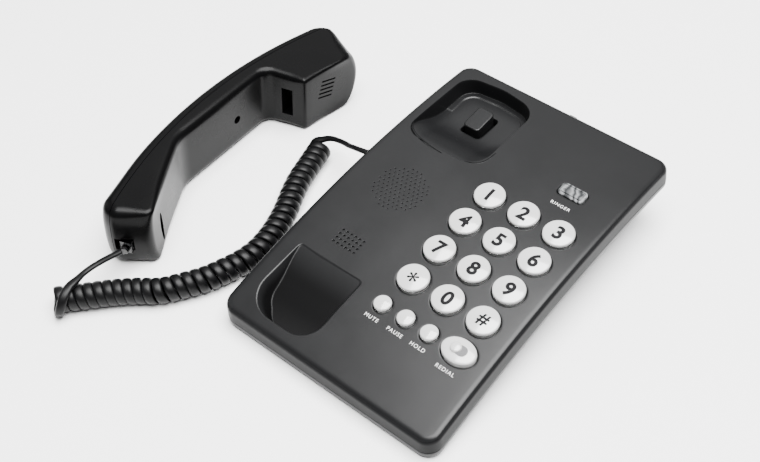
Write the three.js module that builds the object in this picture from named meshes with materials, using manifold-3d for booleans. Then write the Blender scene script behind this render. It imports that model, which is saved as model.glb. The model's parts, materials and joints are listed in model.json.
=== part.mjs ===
// A corded push-button desk telephone. Its handset lies on its side, off the hook, to the left of the base.
// Millimetres, +Z up, z = 0 is the table. +X is the user's right and +Y is the back of the base.

import * as THREE from 'three';
import { mergeVertices } from 'three/addons/utils/BufferGeometryUtils.js';
import Module from 'manifold-3d';

const wasm = await Module();
wasm.setup();

// ---------------------------------------------------------------- driving dimensions

const GAP = 0.3; // clearance between neighbouring pieces

// Where the base and the handset stand on the table.
const BASE_AT = { x: 50.37, y: 0.86 };
const HANDSET_AT = { x: -96.66, y: -9.75, z: 19.82 };
const HANDSET_TURN = THREE.MathUtils.degToRad(3.4);

// Base: an arched slab, raised at the back.
const BASE_TILT = THREE.MathUtils.degToRad(7.25);
const CROWN_HEIGHT = 36; // middle of the top face above the table
const ARCH = 0.000823; // the top falls by ARCH * y * y towards both ends
const TOP_HALF_X = 64.9; // top face, measured at its soft edge
const TOP_HALF_Y = 101.9;
const SIDE_FLARE = 3.4; // the side walls lean out by this much
const SIDE_DROP = 8.2; // down to the parting line
const BAND_DROP = 3.5; // bottom cover's visible band below the parting line
const WALL = 2.2;
const CORNER = 6;
const UNDERSIDE = { z: -20.8, y: -100, slope: -0.0318 }; // flat plane under the bottom cover

// Keypad.
const KEY_PITCH = 21.1;
const KEY_RADIUS = 8.2;
const KEY_RISE = 3.3; // top of the cap above the cover
const PAD_CENTRE = { x: 27.3, y: -7.5 };
const BUTTON_RADIUS = 4.5;
const BUTTON_ROW_Y = -58.8;
const BUTTON_X = { mute: 2.6, pause: 17, hold: 31.2 };
const REDIAL = { x: 48.6, y: -58.6, halfX: 10.2, halfY: 7.9 };
const STEM_END = -9.8; // underside of the key stems
const MAT_TOP = -12;
const BOARD_TOP = -13.5;
const BOARD_THICK = 1.6;
const LAMP = { x: 38.5, y: 51.8, halfX: 7.6, halfY: 4.1 };

// Speaker and microphone grilles of the base.
const SPEAKER = { x: -34.7, y: 1.5, pitch: 4, rings: 3, hole: 1 };
const MICROPHONE = { x: -35.2, y: -40, pitch: 2.7, columns: 6, rows: 4, hole: 0.75 };

// Sockets of the handset cord and of the wall line.
const PLUG = { wide: 7.6, high: 6.2, long: 11 };
const BASE_JACK_Y = 15;
const BASE_JACK_Z = -7;
const BASE_PLUG_X = -69.5;
const LINE_JACK = { x: 24, z: -15.4, wide: 9.8, high: 7.6, deep: 12 };
const SWITCH_X = 4; // ringer loudness switch in the rear wall

// Handset. x runs from its back to the ear, y from the mouth end to the ear end, z across its width.
const HANDSET_HALF_WIDTH = 20.7;
const HANDSET_DRAFT = 0.0437; // each side leans in by this much towards the cups
const HANDSET_EDGE = 4.4; // rounding of its long edges
const SEAM = { x: -15, y: 4, bow: 0.00182 };
const HANDSET_JACK = { x: 11, y: -95.2, z: -2.8, turn: 22 };
const EAR_SLOTS = { x: 21, y: 60, z: 3.5, pitch: 2.8, turn: -16 };

// Curly cord, listed from the base to the handset.
const COIL_RADIUS = 7;
const LEAD_RADIUS = 1.5;
const BASE_LEAD = [
  [-20, 16.7, 31], [-25, 17, 29.7], [-30.5, 18.8, 26.8], [-36, 21.2, 23.2], [-41.8, 23.8, 20],
  [-47.6, 25.4, 17.6], [-53.4, 25.8, 16], [-58.6, 24.6, 15.9],
];
const COIL = [
  [-59.2, 23.2, 7], [-53.9, 5.6, 7], [-50.7, -4.8, 7], [-46.1, -15.6, 7], [-40.7, -26.4, 7],
  [-36.2, -37.4, 7],
  [-33, -48.3, 7], [-31.4, -59.8, 7], [-32.4, -70.8, 7], [-34.5, -78.4, 7], [-38.3, -89.8, 7],
  [-44, -100.2, 7], [-50.5, -110.4, 7], [-59.7, -118.3, 7], [-68.3, -126.7, 7], [-76, -135.6, 7],
  [-85, -146.2, 7],
];
const HANDSET_LEAD = [
  [-80.6, -141, 15.9], [-82.4, -136.8, 15.6], [-83.4, -131.8, 15.2], [-83.2, -126.4, 15.4],
  [-81.8, -121, 16.2], [-79.8, -116.2, 17.3], [-77.8, -111.7, 18.2],
];

// ---------------------------------------------------------------- materials

const finish = (color, roughness, metalness = 0, opacity = 1) =>
  new THREE.MeshStandardMaterial({ color, roughness, metalness, opacity, transparent: opacity < 1 });

const blackPlastic = finish(0x2b2c2e, 0.5);
const innerPlastic = finish(0x17181a, 0.6);
const keyPlastic = finish(0xe6e6e2, 0.25);
const clearPlastic = finish(0xc9cccb, 0.12, 0, 0.45);
const cordPlastic = finish(0x0e0f10, 0.35);
const blackRubber = finish(0x1a1a1b, 0.8);
const keyRubber = finish(0x8f9092, 0.75);
const steel = finish(0xa9adb1, 0.35, 0.9);
const boardLaminate = finish(0x2c6140, 0.55);
const lampRed = finish(0xb0302a, 0.25);

// ---------------------------------------------------------------- solids

// A three.js geometry as a solid that can be joined and cut.
function solid(geometry) {
  const bare = geometry.clone();
  bare.deleteAttribute('normal');
  bare.deleteAttribute('uv');
  const merged = mergeVertices(bare, 1e-4);
  return new wasm.Manifold(new wasm.Mesh({
    numProp: 3,
    vertProperties: Float32Array.from(merged.attributes.position.array),
    triVerts: Uint32Array.from(merged.index.array),
  }));
}

function geometryOf(body) {
  const mesh = body.getMesh();
  const geometry = new THREE.BufferGeometry();
  geometry.setAttribute('position', new THREE.BufferAttribute(Float32Array.from(mesh.vertProperties), 3));
  geometry.setIndex(new THREE.BufferAttribute(Uint32Array.from(mesh.triVerts), 1));
  geometry.computeVertexNormals();
  return geometry;
}

function block(sizeX, sizeY, sizeZ, x, y, z) {
  return solid(new THREE.BoxGeometry(sizeX, sizeY, sizeZ).translate(x, y, z));
}

// An upright cylinder from z = low to z = high.
function rod(radius, low, high, x, y, sides = 20) {
  const geometry = new THREE.CylinderGeometry(radius, radius, high - low, sides);
  return solid(geometry.rotateX(Math.PI / 2).translate(x, y, (low + high) / 2));
}

// A level cylinder along x.
const alongX = (radius, low, high, y, z, sides = 12) =>
  rod(radius, low, high, 0, 0, sides).rotate([0, 90, 0]).translate([0, y, z]);

// A turned solid about a vertical axis at x, y. The profile lists [radius, z], from the axis to the axis.
function turned(profile, x, y, sides = 20) {
  const points = profile.map(([radius, z]) => new THREE.Vector2(radius, z));
  return solid(new THREE.LatheGeometry(points, sides).rotateX(Math.PI / 2).translate(x, y, 0));
}

// Joins rings of equal length, listed upwards and turning anticlockwise from above, with flat ends.
function loft(rings) {
  const count = rings[0].length;
  const positions = rings.flat().flat();
  const index = [];
  for (let level = 0; level + 1 < rings.length; level += 1) {
    for (let i = 0; i < count; i += 1) {
      const a = level * count + i;
      const b = level * count + (i + 1) % count;
      index.push(a, b, b + count, a, b + count, a + count);
    }
  }
  const cap = THREE.ShapeUtils.triangulateShape(rings[0].map(([x, y]) => new THREE.Vector2(x, y)), []);
  const top = (rings.length - 1) * count;
  for (const [a, b, c] of cap) {
    index.push(a, c, b, top + a, top + b, top + c);
  }
  const geometry = new THREE.BufferGeometry();
  geometry.setAttribute('position', new THREE.Float32BufferAttribute(positions, 3));
  geometry.setIndex(index);
  return solid(geometry);
}

// Rounds the corners of an outline. Each corner is [x, y, radius, steps], listed anticlockwise.
function rounded(corners, usualSteps = 4) {
  const outline = [];
  corners.forEach(([x, y, radius, steps = usualSteps], i) => {
    const corner = new THREE.Vector2(x, y);
    const before = new THREE.Vector2(...corners[(i + corners.length - 1) % corners.length]).sub(corner);
    const after = new THREE.Vector2(...corners[(i + 1) % corners.length]).sub(corner);
    if (!radius) {
      outline.push([x, y]);
      return;
    }
    before.normalize();
    after.normalize();
    const half = Math.acos(THREE.MathUtils.clamp(before.dot(after), -1, 1)) / 2;
    const inward = before.clone().add(after).normalize();
    const centre = corner.clone().addScaledVector(inward, radius / Math.sin(half));
    const first = corner.clone().addScaledVector(before, radius / Math.tan(half)).sub(centre);
    const sweep = (Math.PI - 2 * half) * Math.sign(after.cross(before));
    for (let step = 0; step <= steps; step += 1) {
      const spoke = first.clone().rotateAround(new THREE.Vector2(), sweep * step / steps);
      outline.push([centre.x + spoke.x, centre.y + spoke.y]);
    }
  });
  return outline;
}

// Moves an anticlockwise outline outwards by a distance, or inwards when it is negative.
function offset(outline, distance) {
  const count = outline.length;
  return outline.map(([x, y], i) => {
    const before = outline[(i + count - 1) % count];
    const after = outline[(i + 1) % count];
    const along = new THREE.Vector2(after[0] - before[0], after[1] - before[1]).normalize();
    return [x + along.y * distance, y - along.x * distance];
  });
}

// The same for a list of corners, before they are rounded.
function grown(corners, distance) {
  const count = corners.length;
  return corners.map(([x, y, radius, ...steps], i) => {
    const [beforeX, beforeY] = corners[(i + count - 1) % count];
    const [afterX, afterY] = corners[(i + 1) % count];
    const arrive = new THREE.Vector2(x - beforeX, y - beforeY).normalize();
    const leave = new THREE.Vector2(afterX - x, afterY - y).normalize();
    const reach = distance / (1 + arrive.dot(leave));
    return [
      x + (arrive.y + leave.y) * reach,
      y - (arrive.x + leave.x) * reach,
      Math.max(radius + distance * Math.sign(arrive.cross(leave)), 0.8),
      ...steps,
    ];
  });
}

const ellipse = (halfX, halfY, x, y, sides = 28) => Array.from({ length: sides }, (_, i) => {
  const angle = 2 * Math.PI * i / sides;
  return [x + halfX * Math.cos(angle), y + halfY * Math.sin(angle)];
});

// Puts an outline at a height, which may be a number or a function of x and y.
const at = (outline, height) =>
  outline.map(([x, y]) => [x, y, typeof height === 'function' ? height(x, y) : height]);

const union = (first, ...rest) => rest.reduce((sum, body) => sum.add(body), first);
const cut = (first, ...rest) => rest.reduce((left, body) => left.subtract(body), first);

const phone = new THREE.Group();

function piece(parent, name, body, material) {
  const mesh = new THREE.Mesh(body.isBufferGeometry ? body : geometryOf(body), material);
  mesh.name = name;
  parent.add(mesh);
}

// ---------------------------------------------------------------- base: frame and covers

// The base is drawn with z = 0 at the middle of its top face.
const base = new THREE.Group();
base.position.set(BASE_AT.x, BASE_AT.y, CROWN_HEIGHT);
base.rotation.x = BASE_TILT;
phone.add(base);

const arch = (x, y) => -ARCH * y * y;
const belowTop = (depth) => (x, y) => arch(x, y) - depth;
const underside = (x, y) => UNDERSIDE.z + (y - UNDERSIDE.y) * UNDERSIDE.slope;

// One level of a rounded rectangle, as matching right-hand points from the front to the back.
function stations(halfX, halfY, radius) {
  const points = [];
  const arcSteps = 4;
  const arcPoint = (end, turn) => {
    const angle = turn * Math.PI / 2;
    const across = halfX - radius + radius * Math.sin(angle);
    points.push([across, end * (halfY - radius + radius * Math.cos(angle))]);
  };
  for (let i = 0; i <= arcSteps; i += 1) {
    arcPoint(-1, i / arcSteps);
  }
  const spans = 11;
  for (let i = 1; i < spans; i += 1) {
    points.push([halfX, (halfY - radius) * (2 * i / spans - 1)]);
  }
  for (let i = arcSteps; i >= 0; i -= 1) {
    arcPoint(1, i / arcSteps);
  }
  return points;
}

// A slab between levels listed upwards, whose ends bend with the given heights.
function slab(levels) {
  const rows = levels.map(({ halfX, halfY, radius }) => stations(halfX, halfY, radius));
  const count = rows[0].length;
  const positions = [];
  levels.forEach(({ height }, level) => {
    for (const [x, y] of rows[level]) {
      positions.push(x, y, height(x, y), -x, y, height(x, y));
    }
  });
  const right = (level, i) => 2 * (level * count + i);
  const left = (level, i) => right(level, i) + 1;
  const index = [];
  const quad = (a, b, c, d) => index.push(a, b, c, a, c, d);
  const top = levels.length - 1;
  for (let i = 0; i + 1 < count; i += 1) {
    quad(left(top, i), right(top, i), right(top, i + 1), left(top, i + 1));
    quad(right(0, i), left(0, i), left(0, i + 1), right(0, i + 1));
    for (let level = 0; level < top; level += 1) {
      quad(right(level, i), right(level, i + 1), right(level + 1, i + 1), right(level + 1, i));
      quad(left(level, i + 1), left(level, i), left(level + 1, i), left(level + 1, i + 1));
    }
  }
  for (let level = 0; level < top; level += 1) {
    quad(left(level, 0), right(level, 0), right(level + 1, 0), left(level + 1, 0));
    const end = count - 1;
    quad(right(level, end), left(level, end), left(level + 1, end), right(level + 1, end));
  }
  const geometry = new THREE.BufferGeometry();
  geometry.setAttribute('position', new THREE.Float32BufferAttribute(positions, 3));
  geometry.setIndex(index);
  return solid(geometry);
}

// A level that stands out from the top face's edge by a distance.
const level = (out, height, radius = CORNER) =>
  ({ halfX: TOP_HALF_X + out, halfY: TOP_HALF_Y + out, radius: Math.max(radius + out, 1), height });

// A profile of [y, z] points, listed anticlockwise seen from +X, drawn out from x = low to x = high.
function drawnAlongX(profile, low, high) {
  const shape = new THREE.Shape(profile.map(([y, z]) => new THREE.Vector2(y, z)));
  const geometry = new THREE.ExtrudeGeometry(shape, { depth: high - low, bevelEnabled: false });
  const axes = new THREE.Matrix4().makeBasis(
    new THREE.Vector3(0, 1, 0), new THREE.Vector3(0, 0, 1), new THREE.Vector3(1, 0, 0));
  return solid(geometry.applyMatrix4(axes).translate(low, 0, 0));
}

// A well: its rim outline pulled in towards the floor, above a floor that is straight across the base.
// Growing it by a wall's thickness gives the tub that holds it.
const LID = 4;
const WELL_BOTTOM = -19;

function well({ rim, inset, floor }, grow = 0) {
  const sides = loft([
    at(rounded(grown(rim, grow - inset)), WELL_BOTTOM - grow),
    at(rounded(grown(rim, grow)), arch),
    at(rounded(grown(rim, grow)), LID),
  ]);
  const lowered = floor.map(([y, z]) => [y, z - grow]);
  const [firstY] = floor[0];
  const [lastY] = floor.at(-1);
  const above = [...lowered, [lastY + grow, LID - 1], [firstY - grow, LID - 1]];
  return sides.intersect(drawnAlongX(above, -80, 10));
}

const EAR_WELL = {
  rim: [[-60, 37, 7], [-12, 37, 9], [-12.4, 92.5, 13], [-36, 96, 30], [-59, 93, 10]],
  inset: 1.5,
  floor: [[36, -1.2], [44, -4.6], [54, -10.6], [64, -14.4], [99, -17.4]],
};
const MOUTH_WELL = {
  rim: [[-57.5, -96, 13], [-15, -96, 13], [-14, -54.5, 1.5], [-54.6, -54.5, 1.5]],
  inset: 6,
  floor: [[-98, -15.2], [-88, -14.4], [-54.5, -2.4]],
};

// ---------------------------------------------------------------- base: buttons

const keyCentres = Array.from({ length: 12 }, (_, i) => ({
  x: PAD_CENTRE.x + (i % 3 - 1) * KEY_PITCH,
  y: PAD_CENTRE.y + (1.5 - Math.floor(i / 3)) * KEY_PITCH,
}));
const KEY_NAMES = ['1', '2', '3', '4', '5', '6', '7', '8', '9', 'star', '0', 'hash'];
const buttonCentres = Object.entries(BUTTON_X).map(([name, x]) => ({ name, x, y: BUTTON_ROW_Y }));

// A domed cap with a retaining flange under the cover and a stem down to the keypad mat.
function roundKey(radius, rise, x, y) {
  const surface = arch(x, y);
  const flange = surface - WALL - 1.1;
  return turned([
    [0, STEM_END], [2.4, STEM_END], [2.4, flange - 1.2], [radius + 0.9, flange - 1.2], [radius + 0.9, flange],
    [radius, flange], [radius, surface + rise - 1.2], [radius - 0.6, surface + rise - 0.6],
    [radius * 0.5, surface + rise - 0.12], [0, surface + rise],
  ], x, y, 16);
}

function redialKey() {
  const { x, y, halfX, halfY } = REDIAL;
  const surface = arch(x, y);
  const flange = surface - WALL - 1.1;
  const ring = (grow, height) => at(ellipse(halfX + grow, halfY + grow, x, y), height);
  return union(
    loft([ring(0.9, flange - 1.2), ring(0.9, flange)]),
    loft([
      ring(0, flange - 0.6), ring(0, surface + 1.6), ring(-0.8, surface + 2.4), ring(-3, surface + 2.7),
    ]),
    rod(2.4, STEM_END, flange, x, y),
    rod(3, surface + 1, surface + 3.6, x - 1.6, y),
  );
}

// Openings in the top cover for every button, the lamp and the grilles.
function buttonOpenings() {
  return [
    ...keyCentres.map(({ x, y }) => rod(KEY_RADIUS + 0.4, -8, LID, x, y)),
    ...buttonCentres.map(({ x, y }) => rod(BUTTON_RADIUS + 0.4, -8, LID, x, y, 16)),
    loft([-8, LID].map((z) => at(ellipse(REDIAL.halfX + 0.4, REDIAL.halfY + 0.4, REDIAL.x, REDIAL.y), z))),
  ];
}

const lampOutline = (grow) => offset(rounded([
  [LAMP.x - LAMP.halfX, LAMP.y - LAMP.halfY, 2.4], [LAMP.x + LAMP.halfX, LAMP.y - LAMP.halfY, 2.4],
  [LAMP.x + LAMP.halfX, LAMP.y + LAMP.halfY, 2.4], [LAMP.x - LAMP.halfX, LAMP.y + LAMP.halfY, 2.4],
], 3), grow);

function speakerHoles() {
  const holes = [];
  for (let row = -SPEAKER.rings; row <= SPEAKER.rings; row += 1) {
    for (let column = -SPEAKER.rings; column <= SPEAKER.rings; column += 1) {
      const x = (column + row / 2) * SPEAKER.pitch;
      const y = row * SPEAKER.pitch * Math.sqrt(3) / 2;
      if (Math.hypot(x, y) < SPEAKER.pitch * SPEAKER.rings) {
        holes.push(rod(SPEAKER.hole, -8, LID, SPEAKER.x + x, SPEAKER.y + y, 6));
      }
    }
  }
  return holes;
}

function microphoneHoles() {
  const holes = [];
  for (let column = 0; column < MICROPHONE.columns; column += 1) {
    for (let row = 0; row < MICROPHONE.rows; row += 1) {
      const x = MICROPHONE.x + (column - (MICROPHONE.columns - 1) / 2) * MICROPHONE.pitch;
      const y = MICROPHONE.y + (row - (MICROPHONE.rows - 1) / 2) * MICROPHONE.pitch;
      holes.push(rod(MICROPHONE.hole, -8, LID, x, y, 5));
    }
  }
  return holes;
}

// ---------------------------------------------------------------- base: sockets, hook switch and screws

const wallX = TOP_HALF_X + SIDE_FLARE;
const wallY = TOP_HALF_Y + SIDE_FLARE;

// Notches through the covers' rims, for the two sockets and the ringer switch.
const SWITCH = { z: -13.6, wide: 9, high: 3.6, travel: 2 };
const rimNotches = () => [
  block(12, PLUG.wide + 0.8, PLUG.high + 0.8, -wallX, BASE_JACK_Y, BASE_JACK_Z),
  block(LINE_JACK.wide, 12, LINE_JACK.high, LINE_JACK.x, wallY, LINE_JACK.z),
  block(SWITCH.wide, 12, SWITCH.high, SWITCH_X, wallY, SWITCH.z),
];

const HOOK = { x: -36.3, y: 72.5, wide: 9, long: 15, rise: 4.4, pivotY: 46, pivotZ: -18.2 };
const HOOK_FLOOR = -15.2;
const hookSlot = () => block(HOOK.wide + 2, HOOK.long + 4, 14, HOOK.x, HOOK.y - 0.6, -16);

// Screw posts between the covers. Each screw enters from below and its head sits in a recess.
const SCREW_AT = [[50, 88], [50, -88], [-4, -88], [-4, 86], [-53, -16]];
const SCREW = { shank: 1.4, head: 2.9, headHigh: 1.8, long: 10, hole: 1.75 };
const SCREW_FLOOR = 2.6; // depth of the recess above the underside
const screwSeat = (x, y) => underside(x, y) + SCREW_FLOOR;
const postSplit = (x, y) => screwSeat(x, y) + 5;

// ---------------------------------------------------------------- base: top and bottom covers

function topCover() {
  const outside = slab([
    level(SIDE_FLARE, belowTop(SIDE_DROP)),
    level(0.8, belowTop(2.2)),
    level(0.2, belowTop(1.1)),
    level(-1, belowTop(0.3)),
    level(-2.4, arch),
  ]);
  const inside = slab([
    level(SIDE_FLARE - WALL, belowTop(SIDE_DROP + 4), CORNER - WALL),
    level(SIDE_FLARE - WALL, belowTop(SIDE_DROP), CORNER - WALL),
    level(-WALL, belowTop(WALL), CORNER - WALL),
  ]);
  const posts = SCREW_AT.map(([x, y]) => rod(3.6, postSplit(x, y), arch(x, y) - 1, x, y, 12));
  const pilots = SCREW_AT.map(([x, y]) =>
    rod(SCREW.hole, postSplit(x, y) - 1, screwSeat(x, y) + SCREW.long + 0.5, x, y, 10));
  const shell = union(outside.subtract(inside), ...posts, well(EAR_WELL, 1.8), well(MOUTH_WELL, 1.8));
  return cut(
    shell,
    above(),
    well(EAR_WELL),
    well(MOUTH_WELL),
    hookSlot(),
    ...pilots,
    ...buttonOpenings(),
    loft([-8, LID].map((z) => at(lampOutline(0.35), z))),
    ...speakerHoles(),
    ...microphoneHoles(),
    ...rimNotches(),
  );
}

// Everything above the arched top face, to trim what is joined to the cover from below.
const above = () => slab([level(20, belowTop(0), 20), level(20, belowTop(-20), 20)]);

function bottomCover() {
  const bandLow = SIDE_DROP + BAND_DROP;
  const outside = slab([
    { halfX: 54, halfY: 93, radius: 8, height: underside },
    level(SIDE_FLARE - 2.4, belowTop(bandLow)),
    level(SIDE_FLARE - 1, belowTop(SIDE_DROP + GAP)),
  ]);
  const inside = slab([
    { halfX: 53, halfY: 91.5, radius: 7, height: (x, y) => underside(x, y) + 2 },
    level(SIDE_FLARE - 4.4, belowTop(bandLow - 0.6), CORNER - 2),
    level(SIDE_FLARE - 3, belowTop(SIDE_DROP - 4), CORNER - 2),
  ]);
  const posts = SCREW_AT.map(([x, y]) => rod(4.4, underside(x, y) + 0.5, postSplit(x, y) - GAP, x, y, 12));
  const holes = SCREW_AT.map(([x, y]) => rod(SCREW.hole + 0.2, -32, -10, x, y, 10));
  const recesses = SCREW_AT.map(([x, y]) => rod(SCREW.head + 0.5, -34, screwSeat(x, y), x, y, 12));
  const brackets = [-1, 1].map((side) =>
    block(2, 7, 9.4, HOOK.x + side * 5.5, HOOK.pivotY, HOOK.pivotZ - 1.6));
  return cut(
    union(outside.subtract(inside), ...posts, ...brackets),
    alongX(1.35, HOOK.x - 9, HOOK.x + 9, HOOK.pivotY, HOOK.pivotZ),
    ...holes,
    ...recesses,
    ...rimNotches(),
  );
}

function coverScrew(x, y) {
  const seat = screwSeat(x, y) - GAP;
  const head = seat - SCREW.headHigh;
  const socket = block(3.6, 0.9, 1.6, x, y, head).add(block(0.9, 3.6, 1.6, x, y, head));
  return turned([
    [0, head], [SCREW.head - 0.5, head], [SCREW.head, head + 0.6], [SCREW.head, seat],
    [SCREW.shank, seat], [SCREW.shank, seat + SCREW.long - 1], [0, seat + SCREW.long],
  ], x, y, 12).subtract(socket);
}

piece(base, 'top_cover', topCover(), blackPlastic);
piece(base, 'bottom_cover', bottomCover(), blackPlastic);
SCREW_AT.forEach(([x, y], i) => piece(base, `cover_screw_${i + 1}`, coverScrew(x, y), steel));

// ---------------------------------------------------------------- base: keypad

keyCentres.forEach(({ x, y }, i) => {
  piece(base, `key_${KEY_NAMES[i]}`, roundKey(KEY_RADIUS, KEY_RISE, x, y), keyPlastic);
});
buttonCentres.forEach(({ name, x, y }) => {
  piece(base, `${name}_button`, roundKey(BUTTON_RADIUS, 2.6, x, y), keyPlastic);
});
piece(base, 'redial_button', redialKey(), keyPlastic);

const BOARD = { left: -9, right: 57, front: -76, back: 72 };
const boardPlate = (thick, top) => block(
  BOARD.right - BOARD.left, BOARD.back - BOARD.front, thick,
  (BOARD.right + BOARD.left) / 2, (BOARD.back + BOARD.front) / 2, top - thick / 2);

const matDomes = [...keyCentres, ...buttonCentres, REDIAL].map(({ x, y }) =>
  turned([[0, MAT_TOP - 0.5], [3.4, MAT_TOP - 0.5], [2.6, MAT_TOP + 0.5], [0, MAT_TOP + 0.5]], x, y, 10));
const matPlate = block(62, 104, 1, 27, -18, MAT_TOP - 0.5);
piece(base, 'keypad_mat', union(matPlate, ...matDomes), keyRubber);
piece(base, 'circuit_board', boardPlate(BOARD_THICK, BOARD_TOP), boardLaminate);

// ---------------------------------------------------------------- base: lamp, speaker, microphone

const lampSurface = arch(LAMP.x, LAMP.y);
piece(base, 'ringer_lamp_lens', union(
  loft([[0, -WALL - 1.6], [0, 1], [-1.2, 1.8]].map(([grow, z]) => at(lampOutline(grow), lampSurface + z))),
  loft([-WALL - 2.8, -WALL - 1.6].map((z) => at(lampOutline(1), lampSurface + z))),
), clearPlastic);
piece(base, 'ringer_lamp', turned([
  [0, BOARD_TOP + GAP], [2.5, BOARD_TOP + GAP], [2.5, -9.6], [1.4, -8.4], [0, -8.1],
], LAMP.x, LAMP.y, 12), lampRed);
piece(base, 'ringer_speaker', turned([
  [0, -13.4], [7, -13.4], [7, -9.4], [13.6, -5.8], [14.4, -5.8], [14.4, -3.2], [0, -3.2],
], SPEAKER.x, SPEAKER.y, 20), innerPlastic);
piece(base, 'base_microphone', rod(4.8, -8.6, -4, MICROPHONE.x, MICROPHONE.y, 14), steel);

// ---------------------------------------------------------------- base: hook switch

// The tab stands on an arm that turns about an axle in front of it, under the ramp.
function hookLever() {
  const { x, y, wide, long, rise, pivotY, pivotZ } = HOOK;
  const outline = rounded([
    [x - wide / 2, y - long / 2, 2.5], [x + wide / 2, y - long / 2, 2.5],
    [x + wide / 2, y + long / 2, 2.5], [x - wide / 2, y + long / 2, 2.5],
  ], 3);
  return union(
    loft([
      at(outline, -20),
      at(outline, HOOK_FLOOR + rise - 0.8),
      at(offset(outline, -0.8), HOOK_FLOOR + rise),
    ]),
    block(5, y + 4 - pivotY, 1.8, x, (y + 4 + pivotY) / 2, -19.1),
    alongX(2.4, x - 4, x + 4, pivotY, pivotZ),
  ).subtract(alongX(1.35, x - 9, x + 9, pivotY, pivotZ));
}

piece(base, 'hook_lever', hookLever(), blackPlastic);
piece(base, 'hook_axle', alongX(1.05, HOOK.x - 7, HOOK.x + 7, HOOK.pivotY, HOOK.pivotZ, 10), steel);
piece(base, 'hook_contacts', block(7, 12, 4, HOOK.x + 9.6, HOOK.y + 2, -21.4), innerPlastic);

// ---------------------------------------------------------------- base: sockets and switch

function plugSocket(x, y, z, turn) {
  const body = block(14, PLUG.wide + 4, PLUG.high + 2, 7, 0, 0);
  const hollow = block(PLUG.long + 1, PLUG.wide + 0.7, PLUG.high + 0.7, (PLUG.long + 1) / 2 - 0.01, 0, 0);
  return body.subtract(hollow).rotate([0, 0, turn]).translate([x, y, z]);
}

piece(base, 'handset_jack', plugSocket(-TOP_HALF_X + WALL + 0.4, BASE_JACK_Y, BASE_JACK_Z, 0), innerPlastic);
const lineJackBody = block(LINE_JACK.wide + 4, LINE_JACK.deep + 2, LINE_JACK.high + 1.6,
  LINE_JACK.x, wallY - 5.8 - (LINE_JACK.deep + 2) / 2, LINE_JACK.z);
const lineJackHollow = block(LINE_JACK.wide, LINE_JACK.deep, LINE_JACK.high - 0.4,
  LINE_JACK.x, wallY - 5.8 - LINE_JACK.deep / 2 + 0.01, LINE_JACK.z);
piece(base, 'line_jack', lineJackBody.subtract(lineJackHollow), innerPlastic);
piece(base, 'ringer_switch', union(
  block(SWITCH.wide - 2 * SWITCH.travel - 0.8, 6.5, SWITCH.high - 0.8, SWITCH_X, wallY - 2.9, SWITCH.z),
  block(12, 1.4, 5, SWITCH_X, wallY - 6.3, SWITCH.z),
), innerPlastic);

// ---------------------------------------------------------------- base: feet

// Feet and rear legs stand upright on the table; their tops follow the sloping underside of the bottom cover.
const UNDERSIDE_ZERO = underside(0, 0);
const undersideWorld = (drop) => (x, y) => {
  const run = Math.cos(BASE_TILT) - UNDERSIDE.slope * Math.sin(BASE_TILT);
  const localY = (y + UNDERSIDE_ZERO * Math.sin(BASE_TILT)) / run;
  const localZ = UNDERSIDE_ZERO + localY * UNDERSIDE.slope;
  return CROWN_HEIGHT + localY * Math.sin(BASE_TILT) + localZ * Math.cos(BASE_TILT) - drop;
};

const stand = new THREE.Group();
stand.position.set(BASE_AT.x, BASE_AT.y, 0);
phone.add(stand);

const FOOT = { radius: 6, frontX: 44, frontY: -82, rearX: 36, rearY: 84, padHeight: 1.6 };
for (const [side, sign] of [['left', -1], ['right', 1]]) {
  const frontOutline = ellipse(FOOT.radius, FOOT.radius, sign * FOOT.frontX, FOOT.frontY, 16);
  const frontFoot = loft([at(frontOutline, 0), at(frontOutline, undersideWorld(GAP))]);
  piece(stand, `front_foot_${side}`, frontFoot, blackRubber);
  const legOutline = rounded([
    [sign * FOOT.rearX - 9, 34, 3], [sign * FOOT.rearX + 9, 34, 3],
    [sign * FOOT.rearX + 9, 92, 3], [sign * FOOT.rearX - 9, 92, 3],
  ], 3);
  piece(stand, `rear_leg_${side}`, loft([
    at(offset(legOutline, -1.5), FOOT.padHeight + GAP), at(legOutline, undersideWorld(GAP)),
  ]), blackPlastic);
  const rearOutline = ellipse(FOOT.radius, FOOT.radius, sign * FOOT.rearX, FOOT.rearY, 16);
  piece(stand, `rear_foot_${side}`, loft([at(rearOutline, 0), at(rearOutline, FOOT.padHeight)]), blackRubber);
}

// ---------------------------------------------------------------- handset

const handset = new THREE.Group();
const lean = Math.atan(HANDSET_DRAFT);
handset.position.set(HANDSET_AT.x, HANDSET_AT.y, HANDSET_AT.z);
handset.rotation.z = HANDSET_TURN;
const handsetBody = new THREE.Group();
handsetBody.rotation.y = lean;
handset.add(handsetBody);
phone.add(handset);

const seamX = (y) => SEAM.x + SEAM.bow * (y - SEAM.y) ** 2;

// Side outline: round the mouth end, along the inner face, round the ear end and down the bowed back.
const HANDSET_CORNERS = [
  [-3.6, -99.3, 8, 3], [6, -99.7, 6, 2], [22, -88, 5, 3], [-5.6, -35.3, 25, 4], [-5.4, 36, 7, 3],
  [18.5, 42.7, 2.5, 2], [24.8, 86.8, 5, 4], [-6.5, 93.9, 13, 4], [-30.6, 0, 288, 10],
];

// Both ends are fuller in the middle of the handset's width: a rim point at height z moves in along y.
function fullEnds(x, y, z) {
  const height = Math.abs(z);
  const towardsCups = THREE.MathUtils.clamp(x / 22, 0, 1);
  const ear = height ** 2 / 75 + 5.5 * (Math.max(height - 11, 0) / 8.4) ** 3;
  const mouth = height ** 2 / 70 + 5 * (Math.max(height - 9, 0) / 10.4) ** 2;
  return y - 1.8 * ear * towardsCups * THREE.MathUtils.smoothstep(y, 48, 86)
    + 0.45 * mouth * (0.7 + 0.3 * towardsCups) * THREE.MathUtils.smoothstep(-y, 50, 95);
}

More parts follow.
